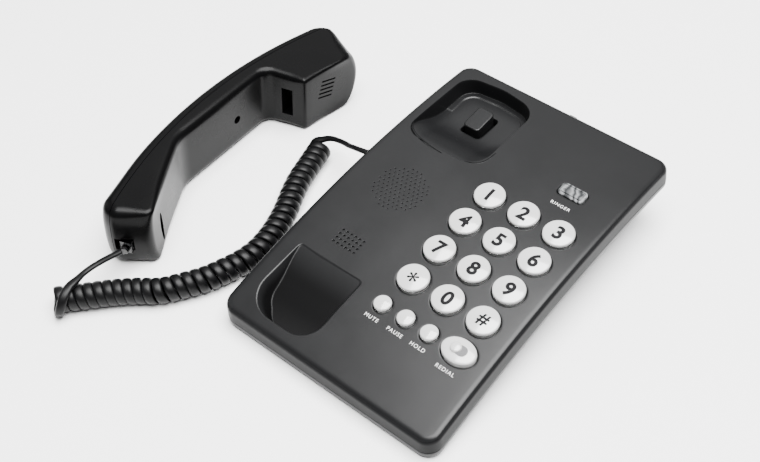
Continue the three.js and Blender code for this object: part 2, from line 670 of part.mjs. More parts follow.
// The outline across the handset's width, with rounded long edges and sides that narrow towards the cups.
function handsetSolid(inset, edge, steps) {
  const half = HANDSET_HALF_WIDTH - inset;
  const ring = (side, turn) => {
    const pull = edge * (1 - Math.sin(turn));
    const height = half - edge * (1 - Math.cos(turn));
    const slim = (x) => 1 - (x + 20) * HANDSET_DRAFT / HANDSET_HALF_WIDTH;
    const fullHeight = height * (HANDSET_HALF_WIDTH - 1.3) / half;
    const outline = rounded(grown(HANDSET_CORNERS, -inset - pull));
    const full = outline.map(([x, y]) => [x, fullEnds(x, y, fullHeight * slim(x))]);
    return at(full, (x) => side * height * slim(x));
  };
  const turns = Array.from({ length: steps + 1 }, (_, i) => Math.PI / 2 * i / steps);
  return loft([...turns.map((turn) => ring(-1, turn)), ...turns.reverse().map((turn) => ring(1, turn))]);
}

// The space in front of the seam, for splitting the two shells.
function seamSide(shift) {
  const profile = [];
  for (let y = 110; y >= -110; y -= 11) {
    profile.push([seamX(y) + shift, y]);
  }
  const outline = [...profile, [60, -110], [60, 110]];
  return loft([at(outline, -30), at(outline, 30)]);
}

const handsetOutside = handsetSolid(0, HANDSET_EDGE, 3);
const handsetInside = handsetSolid(WALL, HANDSET_EDGE - WALL, 1);
const handsetShell = handsetOutside.subtract(handsetInside);

// Things in the mouth end's socket are drawn with y = 0 at its face and y rising inwards.
const inMouthEnd = (body) =>
  body.rotate([0, 0, HANDSET_JACK.turn]).translate([HANDSET_JACK.x, HANDSET_JACK.y, HANDSET_JACK.z]);
const jackHole = () => inMouthEnd(block(PLUG.high + 3.7, 16, PLUG.wide + 0.8, -1.45, 0, 0));

const HANDSET_SCREW = { y: 10.4, z: -1, head: 2.4, seat: -7.6, tip: -15.5 };
const screwBore = (radius, low, high, sides) => (
  alongX(radius, low, high, HANDSET_SCREW.y, HANDSET_SCREW.z, sides)
);

const earSlots = () => [-2, -1, 0, 1, 2].map((i) =>
  block(12, 11, 1.3, EAR_SLOTS.x, 0, i * EAR_SLOTS.pitch).rotate([EAR_SLOTS.turn, 0, 0])
    .translate([0, EAR_SLOTS.y, EAR_SLOTS.z]));

piece(handsetBody, 'handset_front', cut(
  union(handsetShell.intersect(seamSide(GAP / 2)), screwBore(4.5, -10.5, -5, 12)),
  screwBore(1.95, -12, -2, 12),
  screwBore(HANDSET_SCREW.head + 0.4, HANDSET_SCREW.seat, -2, 12),
  jackHole(),
  ...earSlots(),
  block(6.6, 14, 19.5, 7.6, 39.5, -0.5),
  block(10, 2.2, 20, 15.5, -73.6, -4.5),
), blackPlastic);
piece(handsetBody, 'handset_back', union(
  handsetShell.subtract(seamSide(-GAP / 2)),
  screwBore(3.4, -19.4, -10.8, 12),
).subtract(screwBore(1.75, HANDSET_SCREW.tip - 0.6, -10, 10)), blackPlastic);

piece(handsetBody, 'receiver_capsule', turned([
  [0, 6], [9, 6], [9, 9], [15, 12], [15, 16.6], [0, 16.6],
], 0, 0, 20).rotate([0, 90, 0]).translate([0, 64, 0]), innerPlastic);
piece(handsetBody, 'microphone_capsule', alongX(3.5, 7.6, 9.8, -73.6, -3, 12), steel);
piece(handsetBody, 'handset_weight', block(7, 36, 20, -11.7, -18.5, 0), steel);
piece(handsetBody, 'handset_cord_jack', inMouthEnd(
  block(PLUG.high + 2.4, 8.5, PLUG.wide + 3.4, 0, 8.75, 0)
    .subtract(block(PLUG.high + 0.7, 8, PLUG.wide + 0.7, 0, 7.5, 0)),
), innerPlastic);
piece(handsetBody, 'handset_screw', turned([
  [0, 5.6], [1.9, 5.6], [HANDSET_SCREW.head, 6.2], [HANDSET_SCREW.head, 7.3],
  [1.4, 7.3], [1.4, 14.7], [0, 15.5],
], 0, 0, 12).rotate([0, -90, 0]).translate([0, HANDSET_SCREW.y, HANDSET_SCREW.z]), steel);

// ---------------------------------------------------------------- curly cord

// A tube through points, with a polygon for its section.
function tube(points, radius, sides, steps) {
  const route = points.map((point) => new THREE.Vector3(...point));
  const path = new THREE.CatmullRomCurve3(route, false, 'centripetal');
  const corners = ellipse(radius, radius, 0, 0, sides).map(([x, y]) => new THREE.Vector2(x, y));
  const section = new THREE.Shape(corners);
  return solid(new THREE.ExtrudeGeometry(section, { steps, extrudePath: path, bevelEnabled: false }));
}

// A plug is drawn with its body along +x from its boot at x = 0.
const plugBody = () => union(
  block(PLUG.long + 2, PLUG.wide, PLUG.high, 3 + (PLUG.long + 2) / 2, 0, 0),
  alongX(2.2, 0, 4, 0, 0, 10),
);

piece(base, 'cord_plug_base', plugBody().translate([BASE_PLUG_X, BASE_JACK_Y, BASE_JACK_Z]), clearPlastic);
piece(handsetBody, 'cord_plug_handset', inMouthEnd(
  plugBody().rotate([90, 0, 90]).translate([0, -5.5, 0]),
), clearPlastic);
piece(phone, 'cord_lead_base', tube(BASE_LEAD, LEAD_RADIUS, 8, 16), cordPlastic);
piece(phone, 'cord_coil', tube(COIL, COIL_RADIUS, 12, 24), cordPlastic);
piece(phone, 'cord_lead_handset', tube(HANDSET_LEAD, LEAD_RADIUS, 8, 14), cordPlastic);

export default phone;
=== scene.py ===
# The looks of a corded push-button desk telephone, its handset lying beside the base.
# Lengths are millimetres in the base's or the handset's own axes, and matrices turn them into metres.

import json
import math

import bmesh
import bpy
import numpy as np
from mathutils import Matrix, Vector
from mathutils.geometry import delaunay_2d_cdt


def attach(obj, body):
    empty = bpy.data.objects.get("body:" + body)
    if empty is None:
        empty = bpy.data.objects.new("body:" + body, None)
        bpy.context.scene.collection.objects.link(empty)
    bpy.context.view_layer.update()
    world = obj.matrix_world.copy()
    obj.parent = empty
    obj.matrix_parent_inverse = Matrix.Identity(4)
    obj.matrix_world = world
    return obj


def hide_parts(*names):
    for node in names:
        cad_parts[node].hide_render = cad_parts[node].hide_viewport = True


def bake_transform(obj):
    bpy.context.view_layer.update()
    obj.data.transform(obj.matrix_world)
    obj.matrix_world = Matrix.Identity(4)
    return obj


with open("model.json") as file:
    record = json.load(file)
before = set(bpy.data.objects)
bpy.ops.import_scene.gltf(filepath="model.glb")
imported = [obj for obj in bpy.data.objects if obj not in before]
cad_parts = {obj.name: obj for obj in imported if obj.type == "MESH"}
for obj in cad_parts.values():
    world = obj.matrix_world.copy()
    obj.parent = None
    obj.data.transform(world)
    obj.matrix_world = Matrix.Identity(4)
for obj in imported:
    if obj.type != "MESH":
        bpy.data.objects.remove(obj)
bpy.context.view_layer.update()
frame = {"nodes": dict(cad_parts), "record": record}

MM = 0.001

# ---------------------------------------------------------------- places, as in the CAD

BASE = (Matrix.Translation((0.05037, 0.00086, 0.036)) @ Matrix.Rotation(math.radians(7.25), 4, "X")
        @ Matrix.Scale(MM, 4))
LEAN = math.atan(0.0437)
HANDSET = (Matrix.Translation((-0.09666, -0.00975, 0.01982)) @ Matrix.Rotation(math.radians(3.4), 4, "Z")
           @ Matrix.Rotation(LEAN, 4, "Y") @ Matrix.Scale(MM, 4))

# ---------------------------------------------------------------- camera

CAMERA_AT = Vector((0.2816, -0.33583, 0.4591))
CAMERA_RIGHT = Vector((0.770683, 0.637219, 0.0))
CAMERA_UP = Vector((-0.463057, 0.560043, 0.686972))
CAMERA_BACK = Vector((0.437752, -0.529437, 0.726684))

camera_data = bpy.data.cameras.new("camera")
camera_data.lens = 54.85
camera_data.sensor_width = 36.0
camera_data.clip_start = 0.01
camera = bpy.data.objects.new("camera", camera_data)
bpy.context.scene.collection.objects.link(camera)
turn = Matrix((CAMERA_RIGHT, CAMERA_UP, CAMERA_BACK)).transposed().to_4x4()
camera.matrix_world = Matrix.Translation(CAMERA_AT) @ turn
bpy.context.scene.camera = camera

# ---------------------------------------------------------------- materials


def node_of(tree, kind, **inputs):
    """A new node with its inputs set. An underscore stands for a space in an input's name."""
    node = tree.nodes.new(kind)
    for name, value in inputs.items():
        node.inputs[name.replace("_", " ")].default_value = value
    return node


def material(name, colour, roughness, grain=0.15, grain_size=0.5, mottle=0.12, spread=0.05, **shader_inputs):
    """A surface whose colour and roughness vary softly and whose fine grain is a bump, grain_size in mm."""
    made = bpy.data.materials.new(name)
    made.use_nodes = True
    tree = made.node_tree
    shader = tree.nodes["Principled BSDF"]
    shader.inputs["Base Color"].default_value = (*colour, 1)
    shader.inputs["Roughness"].default_value = roughness
    for key, value in shader_inputs.items():
        shader.inputs[key.replace("_", " ")].default_value = value
    place = tree.nodes.new("ShaderNodeTexCoord")

    broad = node_of(tree, "ShaderNodeTexNoise", Scale=45.0, Detail=3.0)
    tree.links.new(place.outputs["Object"], broad.inputs["Vector"])
    tint = tree.nodes.new("ShaderNodeMix")
    tint.data_type = "RGBA"
    tint.inputs[6].default_value = (*[c * (1 - mottle) for c in colour], 1)
    tint.inputs[7].default_value = (*[min(c * (1 + mottle), 1) for c in colour], 1)
    tree.links.new(broad.outputs["Fac"], tint.inputs[0])
    tree.links.new(tint.outputs[2], shader.inputs["Base Color"])

    rough = node_of(tree, "ShaderNodeMapRange", To_Min=roughness - spread, To_Max=roughness + spread)
    tree.links.new(broad.outputs["Fac"], rough.inputs["Value"])
    tree.links.new(rough.outputs["Result"], shader.inputs["Roughness"])

    if grain:
        fine = node_of(tree, "ShaderNodeTexNoise", Scale=1000 / grain_size, Detail=2.0)
        bump = node_of(tree, "ShaderNodeBump", Strength=grain, Distance=0.0001)
        tree.links.new(place.outputs["Object"], fine.inputs["Vector"])
        tree.links.new(fine.outputs["Fac"], bump.inputs["Height"])
        tree.links.new(bump.outputs["Normal"], shader.inputs["Normal"])
    return made


BLACK = material("satin_black", (0.0046, 0.0047, 0.0050), 0.32, grain=0.14, grain_size=0.4,
                 Specular_IOR_Level=0.22)
# A copy of the black with less reflection: painted shade for the cover's walls.
WALL_PAINTED_SHADE = BLACK.copy()
WALL_PAINTED_SHADE.name = "wall_painted_shade"
WALL_PAINTED_SHADE.node_tree.nodes["Principled BSDF"].inputs["Specular IOR Level"].default_value = 0.05
HANDSET_BLACK = material("handset_black", (0.0012, 0.0012, 0.0013), 0.28, grain=0.12, grain_size=0.4,
                         Specular_IOR_Level=0.085)
DARK = material("inner_black", (0.006, 0.006, 0.0065), 0.55, grain=0.2, grain_size=0.6)
PEARL = material("pearl_white", (0.44, 0.44, 0.435), 0.2, grain=0.03, grain_size=1.2, mottle=0.05, spread=0.04,
                 Coat_Weight=1.0, Coat_Roughness=0.08, Subsurface_Weight=0.05,
                 Subsurface_Radius=(0.001, 0.001, 0.001))
INK = material("legend_ink", (0.003, 0.003, 0.0035), 0.5, grain=0.05, grain_size=0.3, Specular_IOR_Level=0.08)
CHROME = material("chrome", (0.72, 0.72, 0.72), 0.12, grain=0.02, grain_size=0.8, mottle=0.05, spread=0.03,
                  Metallic=1.0)
PRINT = material("white_print", (0.62, 0.62, 0.61), 0.5, grain=0.1, grain_size=0.2, mottle=0.03)
# The tint is dark: painted shade for the dark socket seen through the clear plugs.
CLEAR = material("clear_plastic", (0.16, 0.163, 0.166), 0.06, grain=0.02, grain_size=1.0, mottle=0.02, spread=0.02,
                 Transmission_Weight=1.0, IOR=1.49)
CORD = material("cord_jacket", (0.0018, 0.0018, 0.0020), 0.40, grain=0.05, grain_size=0.8, spread=0.05,
                Specular_IOR_Level=0.15)
RUBBER = material("foot_rubber", (0.022, 0.022, 0.023), 0.8, grain=0.5, grain_size=0.7)
MAT = material("mat_rubber", (0.28, 0.28, 0.29), 0.75, grain=0.3, grain_size=0.6)
STEEL = material("plated_steel", (0.62, 0.62, 0.64), 0.28, grain=0.06, grain_size=0.6, Metallic=1.0)
BOARD = material("board_laminate", (0.03, 0.14, 0.06), 0.4, grain=0.15, grain_size=0.8, mottle=0.2)
LAMP_RED = material("lamp_red", (0.45, 0.03, 0.02), 0.2, grain=0.03, Transmission_Weight=0.5)
# Grey for a painted shadow of the redial button's nub.
PAINTED_NUB_SHADOW = material("painted_nub_shadow", (0.06, 0.06, 0.063), 0.4, grain=0.05)

# ---------------------------------------------------------------- meshes


def make_piece(name, mesh, finish, body, replaces=()):
    """An object of a mesh with a finish, riding on a body and standing for CAD nodes."""
    mesh.name = name
    mesh.materials.clear()
    mesh.materials.append(finish)
    piece = bpy.data.objects.new(name, mesh)
    bpy.context.scene.collection.objects.link(piece)
    if body:
        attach(piece, body)
    if replaces:
        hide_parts(*replaces)
    return piece


class Skin:
    """Points, in mm, and faces gathered into one mesh."""

    def __init__(self):
        self.points = []
        self.faces = []

    def put(self, points, faces):
        start = len(self.points)
        self.points += [tuple(p) for p in points]
        self.faces += [tuple(start + i for i in face) for face in faces]

    def rings(self, rings, skip=None):
        """Joins rings of equal length; skip(middle point) leaves a face out."""
        count = len(rings[0])
        faces = []
        flat = [p for ring in rings for p in ring]
        for start in range(0, count * (len(rings) - 1), count):
            for i in range(count):
                a, b = start + i, start + (i + 1) % count
                face = (a, b, b + count, a + count)
                if skip and skip(np.mean([flat[k] for k in face], axis=0)):
                    continue
                faces.append(face)
        self.put(flat, faces)

    def cap(self, ring, flip=False):
        """Closes a ring with a fan of triangles round its middle."""
        ring = [tuple(p) for p in ring]
        middle = tuple(np.mean(ring, axis=0))
        count = len(ring)
        faces = [(i, (i + 1) % count, count) for i in range(count)]
        self.put(ring + [middle], [f[::-1] if flip else f for f in faces])

    def add(self, name, matrix, finish, slot, body, replaces=(), crease=35):
        """Makes the welded piece, placed by a matrix. Edges sharper than crease degrees stay sharp."""
        made = bmesh.new()
        corners = [made.verts.new(Vector(p)) for p in self.points]
        for face in self.faces:
            ring = [corners[i] for i in face]
            if len({tuple(c.co) for c in ring}) > 2:
                try:
                    made.faces.new(ring)
                except ValueError:
                    pass
        bmesh.ops.remove_doubles(made, verts=made.verts, dist=0.002)
        loose = [v for v in made.verts if not v.link_faces]
        bmesh.ops.delete(made, geom=loose, context="VERTS")
        made.transform(matrix)
        mesh = bpy.data.meshes.new(name)
        made.to_mesh(mesh)
        made.free()
        mesh.shade_smooth()
        if crease:
            mesh.set_sharp_from_angle(angle=math.radians(crease))
        return make_piece(name, mesh, finish, body, replaces)


def oval(x, y, half_x, half_y, count=72):
    angle = np.linspace(0, 2 * math.pi, count, endpoint=False)
    return np.column_stack((x + half_x * np.cos(angle), y + half_y * np.sin(angle)))


def circle(x, y, radius, count=48):
    return oval(x, y, radius, radius, count)


def level(outline, z):
    """The points of an outline at one height."""
    return [(x, y, z) for x, y in outline]


def rounded(corners, steps=8):
    """An anticlockwise outline whose corners, [x, y, radius], are rounded in steps, which may differ by corner."""
    outline = []
    counts = np.broadcast_to(steps, len(corners))
    for i, (x, y, radius) in enumerate(corners):
        corner = np.array([x, y], float)
        before = np.array(corners[i - 1][:2], float) - corner
        after = np.array(corners[(i + 1) % len(corners)][:2], float) - corner
        before /= np.linalg.norm(before)
        after /= np.linalg.norm(after)
        half = math.acos(np.clip(before @ after, -1, 1)) / 2
        inward = before + after
        inward /= np.linalg.norm(inward)
        centre = corner + inward * radius / math.sin(half)
        first = corner + before * radius / math.tan(half) - centre
        cross = after[0] * before[1] - after[1] * before[0]
        sweep = (math.pi - 2 * half) * math.copysign(1, cross)
        for a in np.linspace(0, sweep, counts[i] + 1):
            outline.append(centre + np.array([
                first[0] * math.cos(a) - first[1] * math.sin(a),
                first[0] * math.sin(a) + first[1] * math.cos(a)]))
    return np.array(outline)


def grown(corners, distance):
    """The corners of an outline moved outwards, with their radii to match."""
    moved = []
    count = len(corners)
    for i, (x, y, radius) in enumerate(corners):
        arrive = np.array([x - corners[i - 1][0], y - corners[i - 1][1]], float)
        leave = np.array([corners[(i + 1) % count][0] - x, corners[(i + 1) % count][1] - y], float)
        arrive /= np.linalg.norm(arrive)
        leave /= np.linalg.norm(leave)
        reach = distance / (1 + arrive @ leave)
        cross = arrive[0] * leave[1] - arrive[1] * leave[0]
        moved.append((
            x + (arrive[1] + leave[1]) * reach, y - (arrive[0] + leave[0]) * reach,
            max(radius + distance * math.copysign(1, cross), 0.3)))
    return moved


def round_box(low_x, low_y, high_x, high_y, radius):
    """The corners of a rectangle, [x, y, radius], anticlockwise."""
    return [(low_x, low_y, radius), (high_x, low_y, radius), (high_x, high_y, radius), (low_x, high_y, radius)]


def ease(t):
    """From 0 to 1 with a level start and end."""
    t = np.clip(t, 0, 1)
    return t * t * (3 - 2 * t)


def inside(points, outline):
    """Which of the points lie inside an outline."""
    x, y = points[:, 0][:, None], points[:, 1][:, None]
    ax, ay = outline[:, 0][None], outline[:, 1][None]
    bx, by = np.roll(outline[:, 0], -1)[None], np.roll(outline[:, 1], -1)[None]
    crosses = (ay > y) != (by > y)
    with np.errstate(divide="ignore", invalid="ignore"):
        at = ax + (y - ay) * (bx - ax) / (by - ay)
    return (np.count_nonzero(crosses & (x < at), axis=1) % 2).astype(bool)


def sheet(outer, holes, spacing, height):
    """Triangles that fill an outline round its holes, laid on height(x, y), as points and faces."""
    low, high = outer.min(0), outer.max(0)
    gx = np.arange(low[0] + spacing / 2, high[0], spacing)
    gy = np.arange(low[1] + spacing / 2, high[1], spacing)
    grid = np.array([(x, y) for x in gx for y in gy])
    keep = inside(grid, outer)
    for hole in holes:
        keep &= ~inside(grid, hole)
    grid = grid[keep]
    loops = [outer, *holes]
    edge = np.vstack(loops)
    near = np.array([np.min(np.sum((edge - g) ** 2, axis=1)) for g in grid])
    grid = grid[near > (0.35 * spacing) ** 2]
    points = [Vector(p) for p in edge] + [Vector(p) for p in grid]
    edges = []
    start = 0
    for loop in loops:
        count = len(loop)
        edges += [(start + i, start + (i + 1) % count) for i in range(count)]
        start += count
    got, _, faces, *_ = delaunay_2d_cdt(points, edges, [], 0, 1e-5)
    flat = np.array([(p.x, p.y) for p in got])
    triangles = np.array([f for f in faces if len(f) == 3])
    middle = flat[triangles].mean(axis=1)
    keep = inside(middle, outer)
    for hole in holes:
        keep &= ~inside(middle, hole)
    return [(x, y, height(x, y)) for x, y in flat], [tuple(t) for t in triangles[keep]]


def catmull(points, spacing):
    """A smooth line through points, sampled at about a spacing."""
    points = np.array(points, float)
    ends = [2 * points[0] - points[1], *points, 2 * points[-1] - points[-2]]
    line = []
    for a, b, c, d in zip(ends, ends[1:], ends[2:], ends[3:]):
        t1 = np.linalg.norm(b - a) ** 0.5
        t2 = t1 + np.linalg.norm(c - b) ** 0.5
        t3 = t2 + np.linalg.norm(d - c) ** 0.5
        steps = max(2, int(np.linalg.norm(c - b) / spacing))
        for t in np.linspace(t1, t2, steps, endpoint=False):
            a1 = (t1 - t) / t1 * a + t / t1 * b
            a2 = (t2 - t) / (t2 - t1) * b + (t - t1) / (t2 - t1) * c
            a3 = (t3 - t) / (t3 - t2) * c + (t - t2) / (t3 - t2) * d
            b1 = (t2 - t) / t2 * a1 + t / t2 * a2
            b2 = (t3 - t) / (t3 - t1) * a2 + (t - t1) / (t3 - t1) * a3
            line.append((t2 - t) / (t2 - t1) * b1 + (t - t1) / (t2 - t1) * b2)
    line.append(points[-1])
    return np.array(line)


# ---------------------------------------------------------------- curly cord

BASE_LEAD = [
    (-18.6, 16.7, 31.1), (-20.0, 16.7, 31.0), (-25.0, 17.0, 29.7), (-30.5, 18.8, 26.8), (-36.0, 21.2, 23.2),
    (-41.8, 23.8, 20.0), (-47.6, 25.4, 17.4), (-52.8, 25.9, 15.4), (-56.6, 25.2, 13.7),
]
COIL = [
    (-59.2, 23.2), (-53.9, 5.6), (-50.7, -4.8), (-46.1, -15.6), (-40.7, -26.4), (-36.2, -37.4), (-33.0, -48.3),
    (-31.4, -59.8), (-32.4, -70.8), (-34.5, -78.4), (-38.3, -89.8), (-44.0, -100.2), (-50.5, -110.4),
    (-59.7, -118.3), (-68.3, -126.7), (-76.0, -135.6), (-85.0, -146.2), (-88.6, -150.5),
]
HANDSET_LEAD = [
    (-82.4, -136.8, 15.6), (-83.4, -131.8, 15.2), (-83.2, -126.4, 15.4), (-81.8, -121.0, 16.2),
    (-79.8, -116.2, 17.3), (-77.8, -111.7, 18.2), (-77.3, -110.6, 18.4),
]
COIL_RADIUS = 7.0
PITCH_AT, PITCH = [0, 0.06, 0.3, 0.6, 1], [4.7, 5.2, 5.75, 5.3, 4.8]
TURN_BACK = 8.2
TURN_BACK_RISE = 2.8
WIRE_WIDE, WIRE_THICK = 4.9, 2.6
LEAD_WIDE, LEAD_THICK = 3.3, 2.3
STEPS_A_TURN = 20
UP = np.array([0.0, 0.0, 1.0])


def coil_line():
    """The wire's centreline, the outward direction and the wire's width along the coil."""
    axis = catmull([(x, y, COIL_RADIUS) for x, y in COIL], 0.5)
    gone = np.concatenate(([0], np.cumsum(np.linalg.norm(np.diff(axis, axis=0), axis=1))))
    pitch = np.interp(gone / gone[-1], PITCH_AT, PITCH)
    turned = np.concatenate(([0], np.cumsum(np.diff(gone) * 2 / (pitch[1:] + pitch[:-1]))))
    turns = round(turned[-1])
    turned *= turns / turned[-1]
    part = np.linspace(0, turns, turns * STEPS_A_TURN + 1)
    angle = 2 * math.pi * part
    along = np.interp(part, turned, gone)
    uneven = 0.2 * np.sin(angle / 23) + 0.12 * np.sin(angle / 9.1 + 1.0)
    ends = np.clip(np.minimum(part, turns - part) / 3, 0, 1)
    lean = 0.55 * (np.cos(angle) - 1)
    along = along + (uneven + lean) * ends

    # The last half turn comes back over the coil, a little wider than the rest.
    last = np.clip((part - (turns - 0.5)) / 0.5, 0, 1)
    turnaround = np.interp(turns - 0.5, turned, gone)
    along = np.where(last > 0, turnaround - TURN_BACK * last ** 2, along)
    radius = COIL_RADIUS - WIRE_THICK / 2 + TURN_BACK_RISE * ease(last / 0.5)

    middle = np.column_stack([np.interp(along, gone, axis[:, k]) for k in range(3)])
    tangent = np.gradient(axis, gone, axis=0)
    forward = np.column_stack([np.interp(along, gone, tangent[:, k]) for k in range(3)])
    forward /= np.linalg.norm(forward, axis=1)[:, None]
    side = np.cross(forward, UP)
    outward = np.cos(angle)[:, None] * UP + np.sin(angle)[:, None] * side
    line = middle + radius[:, None] * outward
    line[:, 2] = np.maximum(line[:, 2], WIRE_THICK / 2)
    wide = np.minimum(WIRE_WIDE, 0.99 * np.interp(along, gone, pitch))
    return line, outward, wide


coil, coil_outward, coil_wide = coil_line()
lead_in = catmull([*BASE_LEAD, coil[0], coil[2]], 1.2)
lead_in = lead_in[: np.argmin(np.linalg.norm(lead_in - coil[0], axis=1))]
lead_out = catmull([coil[-3], coil[-1], *HANDSET_LEAD], 1.2)
lead_out = lead_out[np.argmin(np.linalg.norm(lead_out - coil[-1], axis=1)) + 1:]
wire = np.vstack((lead_in, coil, lead_out))
wire_outward = np.vstack((np.tile(UP, (len(lead_in), 1)), coil_outward, np.tile(UP, (len(lead_out), 1))))


def run_out(count, reach=8):
    """From 0 to 1 over the last few points of a lead, where it becomes the coil."""
    return ease((np.arange(count) - (count - reach)) / reach)


in_share, out_share = run_out(len(lead_in)), run_out(len(lead_out))[::-1]
wire_wide = np.concatenate((
    LEAD_WIDE + (coil_wide[0] - LEAD_WIDE) * in_share, coil_wide,
    LEAD_WIDE + (coil_wide[-1] - LEAD_WIDE) * out_share))
wire_thick = np.concatenate((
    LEAD_THICK + (WIRE_THICK - LEAD_THICK) * in_share, np.full(len(coil), WIRE_THICK),
    LEAD_THICK + (WIRE_THICK - LEAD_THICK) * out_share))


def flat_wire(line, outward, wide, thick, sides=14):
    """A tube of a rounded flat section along a line, its thickness pointing outwards."""
    along = np.gradient(line, axis=0)
    along /= np.linalg.norm(along, axis=1)[:, None]
    out = outward - np.sum(outward * along, axis=1)[:, None] * along
    out /= np.linalg.norm(out, axis=1)[:, None]
    across = np.cross(along, out)
    rings = []
    for a in np.linspace(0, 2 * math.pi, sides, endpoint=False):
        c, s = math.cos(a), math.sin(a)
        u = math.copysign(abs(c) ** 0.75, c) * wide / 2
        v = math.copysign(abs(s) ** 0.75, s) * thick / 2
        rings.append(line + across * u[:, None] + out * v[:, None])
    rings = np.stack(rings, axis=1)
    skin = Skin()
    skin.rings([list(r) for r in rings])
    skin.cap(rings[0], flip=True)
    skin.cap(rings[-1])
    return skin


cord = flat_wire(wire, wire_outward, wire_wide, wire_thick).add(
    "curly_cord", Matrix.Scale(MM, 4), CORD, "cord_black", None,
    ("cord_coil", "cord_lead_base", "cord_lead_handset"), crease=None)
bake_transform(cord)

# ---------------------------------------------------------------- base: frame

ARCH = 0.000823
TOP_HALF_X = 64.9
TOP_HALF_Y = 101.9
CORNER = 6.0


def arch(x, y):
    """Height of the top face, which bends from front to back."""
    return -ARCH * y * y


# Columns of the side walls, which include the edges of the notches for the sockets and the switch.
SIDE_STATIONS = sorted({*np.linspace(-95.9, 95.9, 41), 10.8, 19.2})
END_STATIONS = sorted({*np.linspace(-58.9, 58.9, 17), 19.1, 28.9, -0.5, 8.5})


def base_outline(out):
    """The base's rounded rectangle, anticlockwise, moved outwards."""
    half_x, half_y = TOP_HALF_X + out, TOP_HALF_Y + out
    core_x, core_y = TOP_HALF_X - CORNER, TOP_HALF_Y - CORNER
    reach = CORNER + out
    points = []

    def arc(cx, cy, start):
        for a in start + np.linspace(0, math.pi / 2, 15)[1:-1]:
            points.append((cx + reach * math.cos(a), cy + reach * math.sin(a)))

    points += [(half_x, y) for y in SIDE_STATIONS]
    arc(core_x, core_y, 0)
    points += [(x, half_y) for x in END_STATIONS[::-1]]
    arc(-core_x, core_y, math.pi / 2)
    points += [(-half_x, y) for y in SIDE_STATIONS[::-1]]
    arc(-core_x, -core_y, math.pi)
    points += [(x, -half_y) for x in END_STATIONS]
    arc(core_x, -core_y, 3 * math.pi / 2)
    return np.array(points)


def sunk(outline, depth):
    """The points of an outline at a depth below the top face."""
    return [(x, y, arch(x, y) - depth) for x, y in outline]


def base_ring(out, depth):
    return sunk(base_outline(out), depth)


def curve3(a, b, c, steps):
    """Points of a quadratic curve from a to c that bends towards b."""
    a, b, c = (np.array(p, float) for p in (a, b, c))
    return [tuple((1 - t) ** 2 * a + 2 * t * (1 - t) * b + t * t * c) for t in np.linspace(0, 1, steps + 1)]


# Openings in the side walls for the sockets and the switch: low corner, high corner, direction inwards.
NOTCHES = [
    ((-80, 10.8, -10.5), (-50, 19.2, -3.5), (1, 0, 0)),
    ((19.1, 90, -19.2), (28.9, 120, -11.6), (0, -1, 0)),
    ((-0.5, 90, -15.4), (8.5, 120, -11.8), (0, -1, 0)),
]
NOTCH_WALL = 2.2


def in_notch(p):
    return any(all(low[k] < p[k] < high[k] for k in range(3)) for low, high, _ in NOTCHES)


def notch_walls(skin):
    """Carries the rims of the notches in a cover's side walls inwards."""
    uses = {}
    place = {}
    for face in skin.faces:
        for a, b in zip(face, face[1:] + face[:1]):
            key = tuple(sorted((a, b)))
            uses[key] = uses.get(key, 0) + 1
            place[key] = (a, b)
    for key, (a, b) in place.items():
        if uses[key] > 1:
            continue
        pa, pb = np.array(skin.points[a]), np.array(skin.points[b])
        for low, high, inward in NOTCHES:
            if all(low[k] - 0.7 < (pa + pb)[k] / 2 < high[k] + 0.7 for k in range(3)):
                step = np.array(inward) * NOTCH_WALL
                skin.put([pa, pb, pb + step, pa + step], [(0, 3, 2, 1)])


# ---------------------------------------------------------------- base: wells

EAR_RIM = [(-59.6, 36.4, 9), (-11.5, 36.4, 13), (-12.2, 92.5, 13), (-36, 96, 30), (-59.3, 93, 10)]
MOUTH_RIM = [(-57.5, -96, 15), (-15, -96, 13), (-14, -54.5, 1.5), (-54.6, -54.5, 1.5)]
WELL_STEPS = 240
WELL_EDGE = 9.0


def radii(outline, centre):
    """Directions round a centre, and the outline's distance from it in each."""
    dense = []
    for a, b in zip(outline, np.roll(outline, -1, axis=0)):
        dense += [a + (b - a) * t for t in np.linspace(0, 1, 24, endpoint=False)]
    dense = np.array(dense) - centre
    angle = np.arctan2(dense[:, 1], dense[:, 0])
    order = np.argsort(angle)
    wanted = np.linspace(-math.pi, math.pi, WELL_STEPS, endpoint=False)
    return wanted, np.interp(wanted, angle[order], np.linalg.norm(dense, axis=1)[order], period=2 * math.pi)


def smooth_low(a, b, k):
    """The smaller of two heights, rounded where they cross."""
    h = np.clip(0.5 + 0.5 * (b - a) / k, 0, 1)
    return b + (a - b) * h - k * h * (1 - h)


def well_rings(rim, centre, floor, wall_slope, fillet, floor_fillet, inner, step):
    """Rings of a recess from its rim in to an inner outline. floor(x, y) is a depth below the top face.

    wall_slope, fillet and step depend on the direction. step is the height of the shallow step at the wall's foot.
    """
    angle, outer = radii(rounded(grown(rim, 0.6), 10), centre)
    _, inner_r = radii(inner, centre)
    direction = np.column_stack((np.cos(angle), np.sin(angle)))
    span = outer - inner_r
    edge = np.minimum(WELL_EDGE, span * 0.85)
    insets = [np.minimum(s, edge) for s in np.linspace(0, WELL_EDGE, 54, endpoint=False)]
    insets += [edge + (span - edge) * share for share in np.linspace(0, 1, 22)]
    soft = fillet(angle)
    rings = []
    for inset in insets:
        xy = centre + direction * (outer - inset)[:, None]
        wall = np.where(inset < 2 * soft, inset ** 2 / (4 * soft), inset - soft) * wall_slope(angle)
        deep = floor(xy[:, 0], xy[:, 1]) - step(angle) * (1 - ease(inset - 4.4))
        depth = np.maximum(smooth_low(wall, deep, floor_fillet), 0)
        rings.append([(x, y, arch(x, y) - d) for (x, y), d in zip(xy, depth)])
    return rings


